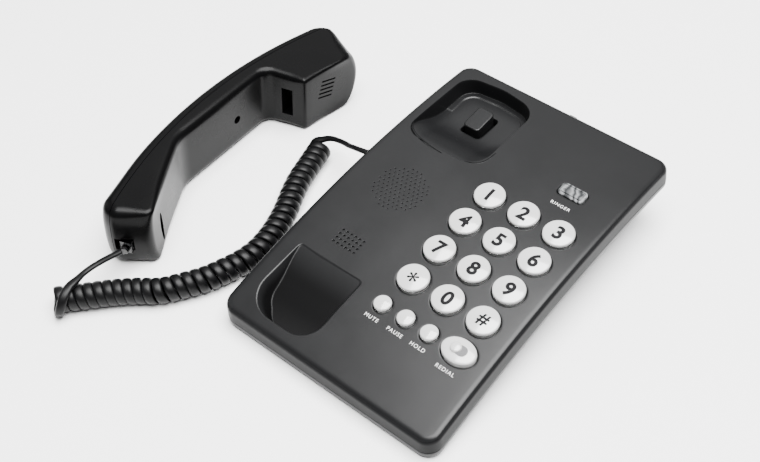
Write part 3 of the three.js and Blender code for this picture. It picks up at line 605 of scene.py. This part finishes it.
def softened(knots, softness):
    """A function through knots of [position, depth] whose bends are rounded."""
    at = np.arange(knots[0][0] - 12, knots[-1][0] + 12, 0.25)
    line = np.interp(at, [k[0] for k in knots], [k[1] for k in knots])
    spread = np.arange(-3 * softness, 3 * softness + 0.1, 0.25)
    weight = np.exp(-0.5 * (spread / softness) ** 2)
    line = np.convolve(np.pad(line, len(spread) // 2, mode="edge"), weight / weight.sum(), "valid")[:len(at)]
    return lambda y: np.interp(y, at, line)


EAR_RAMP = softened([(30, 0.5), (37, 0.6), (46, 3.6), (54, 8.0), (60, 9.9), (66, 10.8), (80, 10.6), (99, 9.4)], 2.4)
MOUTH_RAMP = softened([(-98, 7.6), (-90, 7.9), (-84, 7.3), (-70, 4.2), (-60, 1.5), (-54, 0.0), (-48, 0)], 2.2)


def ear_floor(x, y):
    """Depth of the ear well: a ramp from the front down to a nearly level floor."""
    side = ease((np.abs(x + 36) - 14) / 10)
    return EAR_RAMP(y - 3.5 * side)


def ear_step(angle):
    """The step follows the back wall and fades out along the sides."""
    return 0.4 * ease((math.pi * 0.75 - np.abs(angle - math.pi / 2)) / 1.5)


HOOK_SLOT = round_box(-42.3, 61.8, -29.4, 81.85, 2.4)
EAR_CENTRE = np.array([-36.3, 71.9])
MOUTH_CENTRE = np.array([-36.0, -77.0])


def mouth_slope(angle):
    """The left wall leans back more than the right one."""
    left = np.where(angle > 0, ease((angle - 1.5) / 1.4), ease((-angle - 1.65) / 0.75))
    return 7.5 / (1.5 + 4.5 * left)


def mouth_fillet(angle):
    """The right and back edges are much softer than the left and front ones."""
    return 0.6 + 1.6 * ease((angle + 0.9) / 0.8) * ease((2.3 - angle) / 0.6)


# ---------------------------------------------------------------- base: top cover

KEY_PITCH = 21.1
PAD = (27.3, -7.5)
KEYS = [(PAD[0] + (i % 3 - 1) * KEY_PITCH, PAD[1] + (1.5 - i // 3) * KEY_PITCH) for i in range(12)]
KEY_RADIUS = 8.2
KEY_GAP = 0.4
BUTTONS = {"mute": 2.6, "pause": 17.0, "hold": 31.2}
BUTTON_Y = -58.8
BUTTON_RADIUS = 4.5
REDIAL = (48.6, -58.6, 9.2, 7.0)  # middle and half sizes
LAMP = round_box(30.9, 47.7, 46.1, 55.9, 2.4)


def grille(x, y, pitch, reach, radius):
    """Round field of holes in a triangular pattern, as hole shapes that can grow."""
    found = []
    row_pitch = pitch * 0.866
    rows = int(reach / row_pitch) + 1
    for row in range(-rows, rows + 1):
        for column in range(-rows - 4, rows + 5):
            dx, dy = (column + (row % 2) / 2) * pitch, row * row_pitch
            if math.hypot(dx, dy) < reach:
                found.append(lambda g, cx=x + dx, cy=y + dy: circle(cx, cy, radius + g, 12))
    return found


speaker_holes = grille(-34.7, 1.5, 2.75, 14.6, 0.42)
microphone_holes = [
    lambda g, cx=-35.2 + (column - 2.5) * 2.7, cy=-40.0 + (row - 1.5) * 2.7: circle(cx, cy, 0.7 + g, 12)
    for column in range(6) for row in range(4)]
key_holes = [lambda g, cx=x, cy=y: circle(cx, cy, KEY_RADIUS + KEY_GAP + g, 64) for x, y in KEYS]
key_holes += [lambda g, cx=x: circle(cx, BUTTON_Y, BUTTON_RADIUS + KEY_GAP + g, 48) for x in BUTTONS.values()]
key_holes.append(lambda g: oval(REDIAL[0], REDIAL[1], REDIAL[2] + KEY_GAP + g, REDIAL[3] + KEY_GAP + g))
key_holes.append(lambda g: rounded(grown(LAMP, 0.35 + g)))

top = Skin()
FACE_EDGE = -1.7
TOP_DEEP = 9.0
# The shoulder and wall, as distances out from the base's outline and depths below the top face.
profile = curve3((FACE_EDGE, 0), (1.7, 0), (2.0, 2.7), 12)
profile += [(2.05, 3.3), (2.2, 5.0), (2.38, 7.0), (2.52, 8.6), (2.54, 8.85), (2.42, TOP_DEEP)]
top.rings([base_ring(out, depth) for out, depth in profile][::-1], skip=in_notch)
notch_walls(top)
top.rings([base_ring(0.8, TOP_DEEP), base_ring(2.42, TOP_DEEP)])

holes = []
for shapes, edge, margin, through in (
        (key_holes, 0.45, 0.8, 2.3), (speaker_holes, 0.12, 0.2, 0.5), (microphone_holes, 0.12, 0.2, 0.8)):
    for shape in shapes:
        drops = [(edge + margin, 0), (edge, 0), (edge * 0.6, edge * 0.08), (edge * 0.25, edge * 0.35), (0, edge),
                 (0, through)]
        top.rings([sunk(shape(g), d) for g, d in drops])
        holes.append(shape(edge + margin))
        if through < 1:
            top.cap(sunk(shape(0), through))

ear = well_rings(EAR_RIM, EAR_CENTRE, ear_floor, lambda angle: 11.0, lambda angle: 0.5, 1.1,
                 rounded(grown(HOOK_SLOT, 0.4)), ear_step)
mouth = well_rings(MOUTH_RIM, MOUTH_CENTRE, lambda x, y: MOUTH_RAMP(y), mouth_slope, mouth_fillet, 0.7,
                   circle(*MOUTH_CENTRE, 2, 60), np.zeros_like)
holes += [np.array(rings[0])[:, :2] for rings in (ear, mouth)]
# A thin groove follows the ear well's soft front edge, widest at its left.
GROOVES = [
    ([(-59.6, 43.6), (-57.2, 40.2), (-52.6, 37.4), (-46.0, 35.4), (-39.0, 34.4), (-32.5, 34.2)], 0.75),
    ([(-19.5, 36.6), (-14.6, 38.8), (-11.4, 42.4), (-10.2, 47.0), (-10.0, 52.0)], 0.4),
]
wells = Skin()
for route, half in GROOVES:
    line = catmull([(x, y, 0) for x, y in route], 0.8)[:, :2]
    heading = np.gradient(line, axis=0)
    heading /= np.linalg.norm(heading, axis=1)[:, None]
    across = np.column_stack((-heading[:, 1], heading[:, 0]))
    breadth = half * np.sin(np.linspace(0.06, math.pi - 0.06, len(line))) ** 0.6
    rings = []
    for share, drop in ((1, 0), (0.75, 0.12), (0.35, 0.42), (0, 0.5)):
        reach = across * (breadth * share)[:, None]
        rings.append(sunk(np.vstack((line - reach, (line + reach)[::-1])), drop))
    wells.rings(rings)
    holes.append(np.array(rings[0])[:, :2])
wells.rings(ear)


def painted_well_shade():
    """The top cover's black with painted shade: darker and duller the deeper it lies in the mouth well."""
    made = BLACK.copy()
    made.name = "painted_well_shade"
    tree = made.node_tree
    shader = tree.nodes["Principled BSDF"]
    up = (BASE.to_3x3() @ Vector((0, -0.123, 1))).normalized()
    shallow = (BASE @ Vector((0, -75, -4.63))).dot(up)
    place = tree.nodes.new("ShaderNodeTexCoord")
    height = tree.nodes.new("ShaderNodeVectorMath")
    height.operation = "DOT_PRODUCT"
    height.inputs[1].default_value = up
    tree.links.new(place.outputs["Object"], height.inputs[0])

    def graded(low, high):
        share = node_of(tree, "ShaderNodeMapRange", From_Min=shallow - 0.0045, From_Max=shallow - 0.0008,
                        To_Min=low, To_Max=high)
        share.interpolation_type = "SMOOTHSTEP"
        tree.links.new(height.outputs["Value"], share.inputs["Value"])
        return share.outputs["Result"]

    # Painted shade: less reflection and a darker colour the deeper a point lies in the well.
    tree.links.new(graded(0.10, 0.22), shader.inputs["Specular IOR Level"])
    tree.links.new(graded(0.36, 0.32), shader.inputs["Roughness"])
    shade = tree.nodes.new("ShaderNodeMix")
    shade.data_type = "RGBA"
    shade.inputs[6].default_value = (0.0012, 0.0012, 0.0013, 1)
    source = shader.inputs["Base Color"].links[0].from_socket
    tree.links.new(graded(0, 1), shade.inputs[0])
    tree.links.new(source, shade.inputs[7])
    tree.links.new(shade.outputs[2], shader.inputs["Base Color"])
    return made


mouth_well = Skin()
mouth_well.rings(mouth)
mouth_well.cap(mouth[-1])
# The mouth well's lining, with painted shade that deepens towards its floor.
mouth_well.add("mouth_well_walls", BASE, painted_well_shade(), "black_shell", "base", crease=None)

# The hook's slot opens in the ear well's floor.
slot_rim = np.array(ear[-1])
away = slot_rim[:, :2] - EAR_CENTRE
away /= np.linalg.norm(away, axis=1)[:, None]
slot = [slot_rim]
for shrink, drop in ((0.25, 0.1), (0.4, 0.4), (0.4, 5.5)):
    slot.append(np.column_stack((slot_rim[:, :2] - away * shrink, slot_rim[:, 2] - drop)))
wells.rings([list(r) for r in slot])
wells.add("ear_well_walls", BASE, BLACK, "black_shell", "base", crease=None)

top.put(*sheet(base_outline(FACE_EDGE), holes, 4.0, arch))
shell = top.add("top_cover_shell", BASE, BLACK, "black_shell", "base", ("top_cover",), crease=50)
# The walls round the cover take a copy of the black that reflects less than its top, a painted shade that darkens
# them.
shell.data.materials.append(WALL_PAINTED_SHADE)
for face in shell.data.polygons:
    if abs(face.normal.z) < 0.6:
        face.material_index = 1

# ---------------------------------------------------------------- base: bottom cover

SCREWS = [(50, 88), (50, -88), (-4, -88), (-4, 86), (-53, -16)]
LABEL_FIELD = round_box(-28, -30, 30, 12, 3)


def underside(x, y):
    """Height of the flat underside."""
    return -20.8 + (y + 100) * -0.0318


def underside_ring(share):
    """Between the band's lower edge, at share 0, and the flat underside, at share 1."""
    upper = np.array(base_ring(1.2, 13.3))
    lower = base_outline(0) * np.array([54 / TOP_HALF_X, 93 / TOP_HALF_Y])
    low = np.column_stack((lower, [underside(x, y) for x, y in lower]))
    return [tuple(p) for p in upper + (low - upper) * share]


bottom = Skin()
band = [(0.8, 9.6), (2.2, 9.6), (2.42, 9.72), (2.5, 9.95), (2.55, 10.7), (2.55, 12.3), (2.4, 12.9), (1.9, 13.2),
        (1.2, 13.3)]
rings = [base_ring(out, depth) for out, depth in band]
rings += [underside_ring(share) for share in (0.0, 0.35, 0.7, 0.93, 1.0)]
bottom.rings(rings[::-1], skip=in_notch)
notch_walls(bottom)
floor_holes = []
for cx, cy in SCREWS:
    recess = [[(x, y, underside(x, y) + up) for x, y in circle(cx, cy, radius, 32)]
              for radius, up in ((3.8, 0), (3.52, 0.12), (3.4, 0.4), (3.4, 2.6), (1.9, 2.6))]
    bottom.rings(recess)
    floor_holes.append(np.array(recess[0])[:, :2])
# The raised field for a label is blank.
field = [rounded(grown(LABEL_FIELD, g), 6) for g in (0.4, 0, -0.2)]
bottom.rings([[(x, y, underside(x, y) + rise) for x, y in ring] for ring, rise in zip(field, (0, 0.1, 0.5))])
floor_holes.append(field[0])
for outline, openings, spacing, rise in ((field[2], [], 8.0, 0.5), (np.array(rings[-1])[:, :2], floor_holes, 7.0, 0)):
    points, faces = sheet(outline, openings, spacing, lambda x, y: underside(x, y) + rise)
    bottom.put(points, [f[::-1] for f in faces])
bottom.add("bottom_cover_shell", BASE, BLACK, "black_shell", "base", ("bottom_cover",), crease=40)

# ---------------------------------------------------------------- base: buttons


def lathe(profile, x, y, count=64):
    """A skin of rings of [radius, height] round an upright axis."""
    skin = Skin()
    skin.rings([level(circle(x, y, max(radius, 0.001), count), z) for radius, z in profile])
    return skin


def round_cap(name, node, body, x, y, radius, rise, dome):
    """A domed button with a grooved side and a bright rim."""
    surface = arch(x, y)
    edge = radius - 0.9
    top_z = surface + rise
    profile = [(radius - 0.2, surface - 3.0), (radius + 0.05, surface - 0.2), (radius + 0.05, surface + 0.25)]
    profile += [(radius - 0.25, surface + 0.35), (radius - 0.25, surface + 1.15), (radius + 0.02, surface + 1.25)]
    shoulder_low = top_z - dome * (edge / radius) ** 2
    for t in np.linspace(0, 1, 8):
        a = t * math.pi / 2
        profile.append((edge + 0.95 * math.cos(a), shoulder_low - 0.95 + 0.95 * math.sin(a)))
    for r in np.linspace(edge, 0, 12)[1:]:
        profile.append((r, top_z - dome * (r / radius) ** 2))
    skin = lathe(profile, x, y)
    skin.cap(level(circle(x, y, radius - 0.2, 64), surface - 3.0), flip=True)
    skin.add(name, BASE, PEARL, "key_white", body, (node,), crease=40)
    band = [(radius - 0.3, 0.15), (radius + 0.1, 0.2), (radius + 0.22, 0.45), (radius + 0.2, 0.9),
            (radius + 0.1, 1.3), (radius - 0.3, 1.4)]
    lathe([(r, surface + z) for r, z in band], x, y).add(f"{name}_rim", BASE, CHROME, "key_white", body, crease=None)


def lettering(name, text, size, place, height, body, finish, bold):
    """Flat letters whose middle is at a place, laid on a surface given by height(x, y)."""
    curve = bpy.data.curves.new(name, "FONT")
    curve.body = text
    curve.size = size
    curve.offset = bold
    curve.align_x = "CENTER"
    curve.align_y = "CENTER"
    curve.resolution_u = 6
    curve.space_character = 1.22 if len(text) > 1 else 1.0
    made = bpy.data.objects.new(name, curve)
    bpy.context.scene.collection.objects.link(made)
    graph = bpy.context.evaluated_depsgraph_get()
    mesh = bpy.data.meshes.new_from_object(made.evaluated_get(graph))
    bpy.data.objects.remove(made)
    shaped = bmesh.new()
    shaped.from_mesh(mesh)
    bmesh.ops.triangulate(shaped, faces=shaped.faces)
    # Fine triangles let the letters follow the surface.
    for _ in range(4):
        long_edges = [e for e in shaped.edges if e.calc_length() > 1.1]
        if long_edges:
            bmesh.ops.subdivide_edges(shaped, edges=long_edges, cuts=1)
            bmesh.ops.triangulate(shaped, faces=shaped.faces)
    spread = np.array([v.co[:2] for v in shaped.verts])
    middle = (spread.min(0) + spread.max(0)) / 2
    for v in shaped.verts:
        x, y = v.co.x - middle[0] + place[0], v.co.y - middle[1] + place[1]
        v.co = (x, y, height(x, y))
    shaped.transform(BASE)
    shaped.to_mesh(mesh)
    shaped.free()
    make_piece(name, mesh, finish, body)


KEY_RISE = 3.1
KEY_DOME = 0.85
LEGEND_LIFT = 0.05
LEGEND_SIZE = {"*": 13.0, "#": 9.2}
LEGEND_BOLD = {"*": 0.2, "#": 0.25}
BUTTON_RISE = 2.6
BUTTON_DOME = 0.7

for legend, (x, y) in zip("123456789*0#", KEYS):
    node = {"*": "star", "#": "hash"}.get(legend, legend)
    round_cap(f"key_cap_{node}", f"key_{node}", f"key_{node}_cap", x, y, KEY_RADIUS, KEY_RISE, KEY_DOME)
    lettering(
        f"legend_{node}", legend, LEGEND_SIZE.get(legend, 10.8), (x + 0.3, y - 0.5),
        lambda px, py, cx=x, cy=y: arch(cx, cy) + KEY_RISE + LEGEND_LIFT
        - KEY_DOME * ((px - cx) ** 2 + (py - cy) ** 2) / KEY_RADIUS ** 2,
        f"key_{node}_cap", INK, LEGEND_BOLD.get(legend, 0.42))

for name, x in BUTTONS.items():
    round_cap(f"{name}_cap", f"{name}_button", f"{name}_press", x, BUTTON_Y, BUTTON_RADIUS, BUTTON_RISE,
              BUTTON_DOME)

x, y, half_x, half_y = REDIAL
surface = arch(x, y)
redial = Skin()
levels = [(0.0, -3.0), (0.05, -0.2), (0.05, 0.3), (-0.05, 0.45), (-0.05, 0.7), (0.05, 0.85), (0.05, 1.4),
          (-0.15, 1.85), (-0.5, 2.15), (-1.1, 2.35), (-2.2, 2.5), (-3.4, 2.6), (-5.0, 2.68)]
rings = [level(oval(x, y, half_x + g, half_y + g), surface + z) for g, z in levels]
redial.rings(rings)
redial.cap(rings[-1])
nub = [(2.9, 1.5), (2.85, 3.3), (2.7, 3.75), (2.3, 4.05), (1.5, 4.15), (0, 4.17)]
nub_skin = lathe([(r, surface + z) for r, z in nub], x - 1.6, y, 40)
redial.put(nub_skin.points, nub_skin.faces)
redial.add("redial_cap", BASE, PEARL, "key_white", "redial_press", ("redial_button",), crease=40)

# A grey pad beside the nub: a painted shadow of the nub on the cap.
nub_shadow = Skin()
nub_shadow.cap(level(rounded(round_box(x - 2.0, y - 2.9, x + 4.6, y + 2.9, 2.8)), surface + 2.74))
nub_shadow.add("redial_nub_shadow", BASE, PAINTED_NUB_SHADOW, "key_white", "redial_press")

LABEL_SIZE = 2.85
LABEL_BOLD = -0.01
PRINT_LIFT = 0.04
LABELS = {"MUTE": (2.4, -67.4), "PAUSE": (16.8, -67.4), "HOLD": (30.7, -67.4), "REDIAL": (48.7, -69.6),
          "RINGER": (38.2, 41.0)}
for text, place in LABELS.items():
    lettering(f"label_{text.lower()}", text, LABEL_SIZE, place, lambda x, y: arch(x, y) + PRINT_LIFT, "base",
              PRINT, LABEL_BOLD)

# ---------------------------------------------------------------- base: lamp and hook


def faceted_lens():
    """Clear grey plastic with fine streaky facets moulded across it; the streaks also paint light and dark glints
    into its colour.
    """
    made = material("lamp_lens", (0.42, 0.43, 0.44), 0.2, grain=0, mottle=0.3, spread=0.04, Specular_IOR_Level=0.14)
    tree = made.node_tree
    place = tree.nodes.new("ShaderNodeTexCoord")
    streaks = node_of(tree, "ShaderNodeTexWave", Scale=70.0, Distortion=14.0, Detail=3.0)
    tree.links.new(place.outputs["Object"], streaks.inputs["Vector"])
    # Painted glints: the streaks turn the colour lighter and darker.
    painted_glints = tree.nodes.new("ShaderNodeValToRGB")
    painted_glints.color_ramp.elements[0].color = (0.02, 0.021, 0.022, 1)
    painted_glints.color_ramp.elements[1].color = (0.16, 0.163, 0.166, 1)
    tree.links.new(streaks.outputs["Fac"], painted_glints.inputs["Fac"])
    bump = node_of(tree, "ShaderNodeBump", Strength=0.5, Distance=0.0003)
    tree.links.new(streaks.outputs["Fac"], bump.inputs["Height"])
    shader = tree.nodes["Principled BSDF"]
    tree.links.new(painted_glints.outputs["Color"], shader.inputs["Base Color"])
    tree.links.new(bump.outputs["Normal"], shader.inputs["Normal"])
    return made


lamp_at = arch(38, 51.3)
lens = Skin()
levels = [(1.0, -4.8), (1.0, -3.9), (0, -3.8), (0, 0.5), (-0.25, 0.85), (-1.0, 1.1), (-1.2, 0.7), (-1.5, 0.7),
          (-1.8, 1.3)]
rings = [level(rounded(grown(LAMP, g)), lamp_at + z) for g, z in levels]
lens.rings(rings)
lens.cap(rings[-1])
lens.cap(rings[0], flip=True)
lens.add("lamp_lens", BASE, faceted_lens(), "clear_plastic", "base", ("ringer_lamp_lens",), crease=30)

tab = Skin()
tab_corners = round_box(-42.0, 64.7, -31.6, 81.05, 2.4)
levels = [(0, -20), (0, -11.3), (-0.07, -10.95), (-0.3, -10.72), (-0.6, -10.65), (-0.9, -10.64)]
rings = [level(rounded(grown(tab_corners, g)), z) for g, z in levels]
tab.rings(rings)
tab.cap(rings[-1])
tab.add("hook_tab", BASE, BLACK, "black_shell", "hook", crease=40)

# ---------------------------------------------------------------- handset

HALF_WIDTH = 20.7
DRAFT = 0.0437
SOFT_EDGE = 4.4
CRISP_EDGE = 2.4
CORNERS = [
    (-3.6, -99.3, 8), (6, -99.7, 6), (22, -88, 5), (-5.6, -35.3, 25), (-5.4, 36, 7),
    (18.5, 42.7, 2.5), (24.8, 86.8, 5), (-6.5, 93.9, 13), (-30.6, 0, 288),
]
OUTLINE_STEPS = [8, 6, 8, 14, 8, 6, 12, 14, 60]
SEAM_GAP = 0.18


def handset_outline(pull):
    """The handset seen from its side, pulled in all round."""
    return rounded(grown(CORNERS, -pull), OUTLINE_STEPS)


def densify(outline):
    """Adds points to an outline's long straight stretches, the same ones whatever its size."""
    reference = handset_outline(0)
    points = []
    count = len(outline)
    for i in range(count):
        a, b = outline[i], outline[(i + 1) % count]
        span = np.linalg.norm(reference[(i + 1) % count] - reference[i])
        steps = max(1, int(round(span / 5)))
        points += [a + (b - a) * t / steps for t in range(steps)]
    return np.array(points)


def full_ends(x, y, z):
    """Both ends are fuller in the middle of the width: a rim point at height z moves in along y."""
    height = np.abs(z)
    towards_cups = np.clip(x / 22, 0, 1)
    ear_end = height ** 2 / 75 + 5.5 * (np.maximum(height - 11, 0) / 8.4) ** 3
    mouth_end = height ** 2 / 70 + 5 * (np.maximum(height - 9, 0) / 10.4) ** 2
    return (y - 1.8 * ear_end * towards_cups * ease((y - 48) / 38)
            + 0.45 * mouth_end * (0.7 + 0.3 * towards_cups) * ease((-y - 50) / 45))


def handset_level(side, turn, share=1.0):
    """A ring of the handset, at a share of its height.

    turn runs from the flat side, 0, to the widest outline, 90 degrees.
    """
    lines = [densify(handset_outline(edge * (1 - math.sin(turn)))) for edge in (SOFT_EDGE, CRISP_EDGE)]
    weight = ease((lines[0][:, 0] - 9) / 11)
    line = lines[0] + (lines[1] - lines[0]) * weight[:, None]
    height = HALF_WIDTH - (SOFT_EDGE + (CRISP_EDGE - SOFT_EDGE) * weight) * (1 - math.cos(turn))
    z = side * height * share * (1 - (line[:, 0] + 20) * DRAFT / HALF_WIDTH)
    y = full_ends(line[:, 0], line[:, 1], z * (HALF_WIDTH - 1.3) / HALF_WIDTH)
    return [tuple(p) for p in np.column_stack((line[:, 0], y, z))]


def handset_body():
    """The whole closed handset, in its own axes."""
    turns = np.linspace(0, math.pi / 2, 9)
    rings = [handset_level(-1, t) for t in turns]
    rings += [handset_level(1, turns[-1], share) for share in np.linspace(-1, 1, 17)[1:-1]]
    rings += [handset_level(1, t) for t in turns[::-1]]
    skin = Skin()
    skin.rings(rings)
    for ring, side in ((rings[0], -1), (rings[-1], 1)):
        points, faces = sheet(np.array(ring)[:, :2], [], 5.0, lambda x, y: side * (HALF_WIDTH - (x + 20) * DRAFT))
        skin.put(points, [f[::side] for f in faces])
    return skin


def boolean(target, cutters, operation="DIFFERENCE"):
    """Cuts a piece with others, or keeps what it shares with them."""
    for cutter in cutters:
        modifier = target.modifiers.new("cut", "BOOLEAN")
        modifier.object = cutter
        modifier.operation = operation
        modifier.solver = "EXACT"
    graph = bpy.context.evaluated_depsgraph_get()
    mesh = bpy.data.meshes.new_from_object(target.evaluated_get(graph))
    target.modifiers.clear()
    old = target.data
    target.data = mesh
    bpy.data.meshes.remove(old)


def scratch(skin, name="scratch"):
    """An object for cutting, which takes no part in the model."""
    return skin.add(name, HANDSET, BLACK, None, None, crease=None)


def box_cutter(low, high, turn=Matrix.Identity(4)):
    """A closed box between two corners, turned by a matrix."""
    skin = Skin()
    (ax, ay, az), (bx, by, bz) = low, high
    corners = [(x, y, z) for z in (az, bz) for x, y in ((ax, ay), (bx, ay), (bx, by), (ax, by))]
    skin.put([tuple(turn @ Vector(c)) for c in corners],
             [(0, 3, 2, 1), (4, 5, 6, 7), (0, 1, 5, 4), (1, 2, 6, 5), (2, 3, 7, 6), (3, 0, 4, 7)])
    return scratch(skin)


def seam_slab(shift):
    """A closed slab of all that lies in front of the curved seam, moved forwards by shift."""
    skin = Skin()
    rings = []
    for y in np.linspace(-112, 112, 57):
        seam = -15 + 0.00182 * (y - 4) ** 2 + shift
        rings.append([(seam, y, -30), (seam + 60, y, -30), (seam + 60, y, 30), (seam, y, 30)])
    skin.rings([r[::-1] for r in rings])
    skin.cap(rings[0])
    skin.cap(rings[-1], flip=True)
    return scratch(skin)


def tube_cutter(low, high, y, z, half_y, half_z):
    """A closed oval tube from low to high along x."""
    skin = Skin()
    rings = [[(x, *at) for at in oval(y, z, half_y, half_z, 32)] for x in (low, high)]
    skin.rings(rings)
    skin.cap(rings[0], flip=True)
    skin.cap(rings[1])
    return scratch(skin)


whole = scratch(handset_body(), "handset_whole")
front = whole.copy()
front.data = whole.data.copy()
bpy.context.scene.collection.objects.link(front)
# The cord's socket, the five sound slots and the other openings.
jack_turn = Matrix.Translation((11, -95.2, -2.8)) @ Matrix.Rotation(math.radians(22), 4, "Z")
slot_turn = Matrix.Translation((0, 60, 3.5)) @ Matrix.Rotation(math.radians(-16), 4, "X")
cutters = [box_cutter((-6.4, -8, -4.2), (3.5, 9, 4.2), jack_turn)]
cutters += [box_cutter((15, -5.5, i * 2.8 - 0.55), (30, 5.5, i * 2.8 + 0.55), slot_turn) for i in range(-2, 3)]
cutters += [
    box_cutter((4.3, 32.5, -10.2), (10.9, 46.5, 9.2)),  # hole in the ear end's inner wall
    tube_cutter(-14, 4, 10.4, -1, 2.5, 2.5),  # screw hole
    tube_cutter(10.5, 30, -73.6, -5.2, 1.6, 10.3),  # microphone slot
]
front_side, back_side = seam_slab(SEAM_GAP), seam_slab(-SEAM_GAP)
boolean(front, [front_side], "INTERSECT")
boolean(front, cutters)
boolean(whole, [back_side])
for cut, node in ((whole, "handset_back"), (front, "handset_front")):
    mesh = cut.data
    mesh.shade_smooth()
    mesh.set_sharp_from_angle(angle=math.radians(32))
    make_piece(f"{node}_shell", mesh, HANDSET_BLACK, "handset", (node,))
for spent in [*cutters, front_side, back_side, front, whole]:
    bpy.data.objects.remove(spent)

# The screw's profile, as [radius, place along x].
screw = Skin()
head = [(0.001, -13.2), (0.9, -13.2), (1.0, -12.9), (1.9, -12.9), (2.2, -13.3), (2.2, -14.1), (1.4, -14.1),
        (1.4, -15.0), (0.001, -15.3)]
screw.rings([[(x, y, z) for y, z in circle(10.4, -1, radius, 32)] for radius, x in head])
screw.add("handset_screw_head", HANDSET, STEEL, "steel", "handset", ("handset_screw",), crease=30)

# ---------------------------------------------------------------- carried-over CAD nodes

CAD_FINISH = {
    "steel": STEEL, "inner_black": DARK, "clear_plastic": CLEAR, "mat_rubber": MAT, "board": BOARD,
    "lamp_red": LAMP_RED, "foot_rubber": RUBBER, "black_shell": BLACK, "key_white": PEARL, "cord_black": CORD,
}
for part in frame["record"]["subparts"]:
    node = frame["nodes"][part["node"]]
    node.data.materials.clear()
    node.data.materials.append(CAD_FINISH[part["material_slot"]])
    if not node.hide_render:
        edge = node.modifiers.new("edge", "BEVEL")
        edge.width = 0.0002
        edge.segments = 2
        edge.limit_method = "ANGLE"
        edge.angle_limit = math.radians(40)

# ---------------------------------------------------------------- studio

floor_mesh = bpy.data.meshes.new("floor")
floor_mesh.from_pydata([(-3, -3, 0), (3, -3, 0), (3, 3, 0), (-3, 3, 0)], [], [(0, 1, 2, 3)])
floor = bpy.data.objects.new("floor", floor_mesh)
floor_mesh.materials.append(material("floor", (0.9, 0.9, 0.9), 0.6, grain=0.0, mottle=0.005))
bpy.context.scene.collection.objects.link(floor)
floor.location.z = -0.0002


def softbox(name, where, size, power):
    """A soft light that faces the telephone."""
    data = bpy.data.lights.new(name, "AREA")
    data.shape = "RECTANGLE"
    data.size, data.size_y = size
    data.energy = power
    light = bpy.data.objects.new(name, data)
    light.location = where
    light.rotation_euler = (Vector(where) - Vector((0, 0, 0.02))).to_track_quat("Z", "Y").to_euler()
    bpy.context.scene.collection.objects.link(light)


softbox("back_light", (-0.9, 1.1, 1.3), (1.6, 1.0), 7)
softbox("top_light", (0.25, 0.05, 1.6), (1.5, 1.3), 165)
softbox("left_light", (-1.4, -0.6, 0.9), (1.0, 1.0), 4)

world = bpy.data.worlds.new("world")
world.use_nodes = True
world.node_tree.nodes["Background"].inputs["Color"].default_value = (1, 1, 1, 1)
world.node_tree.nodes["Background"].inputs["Strength"].default_value = 0.28
bpy.context.scene.world = world
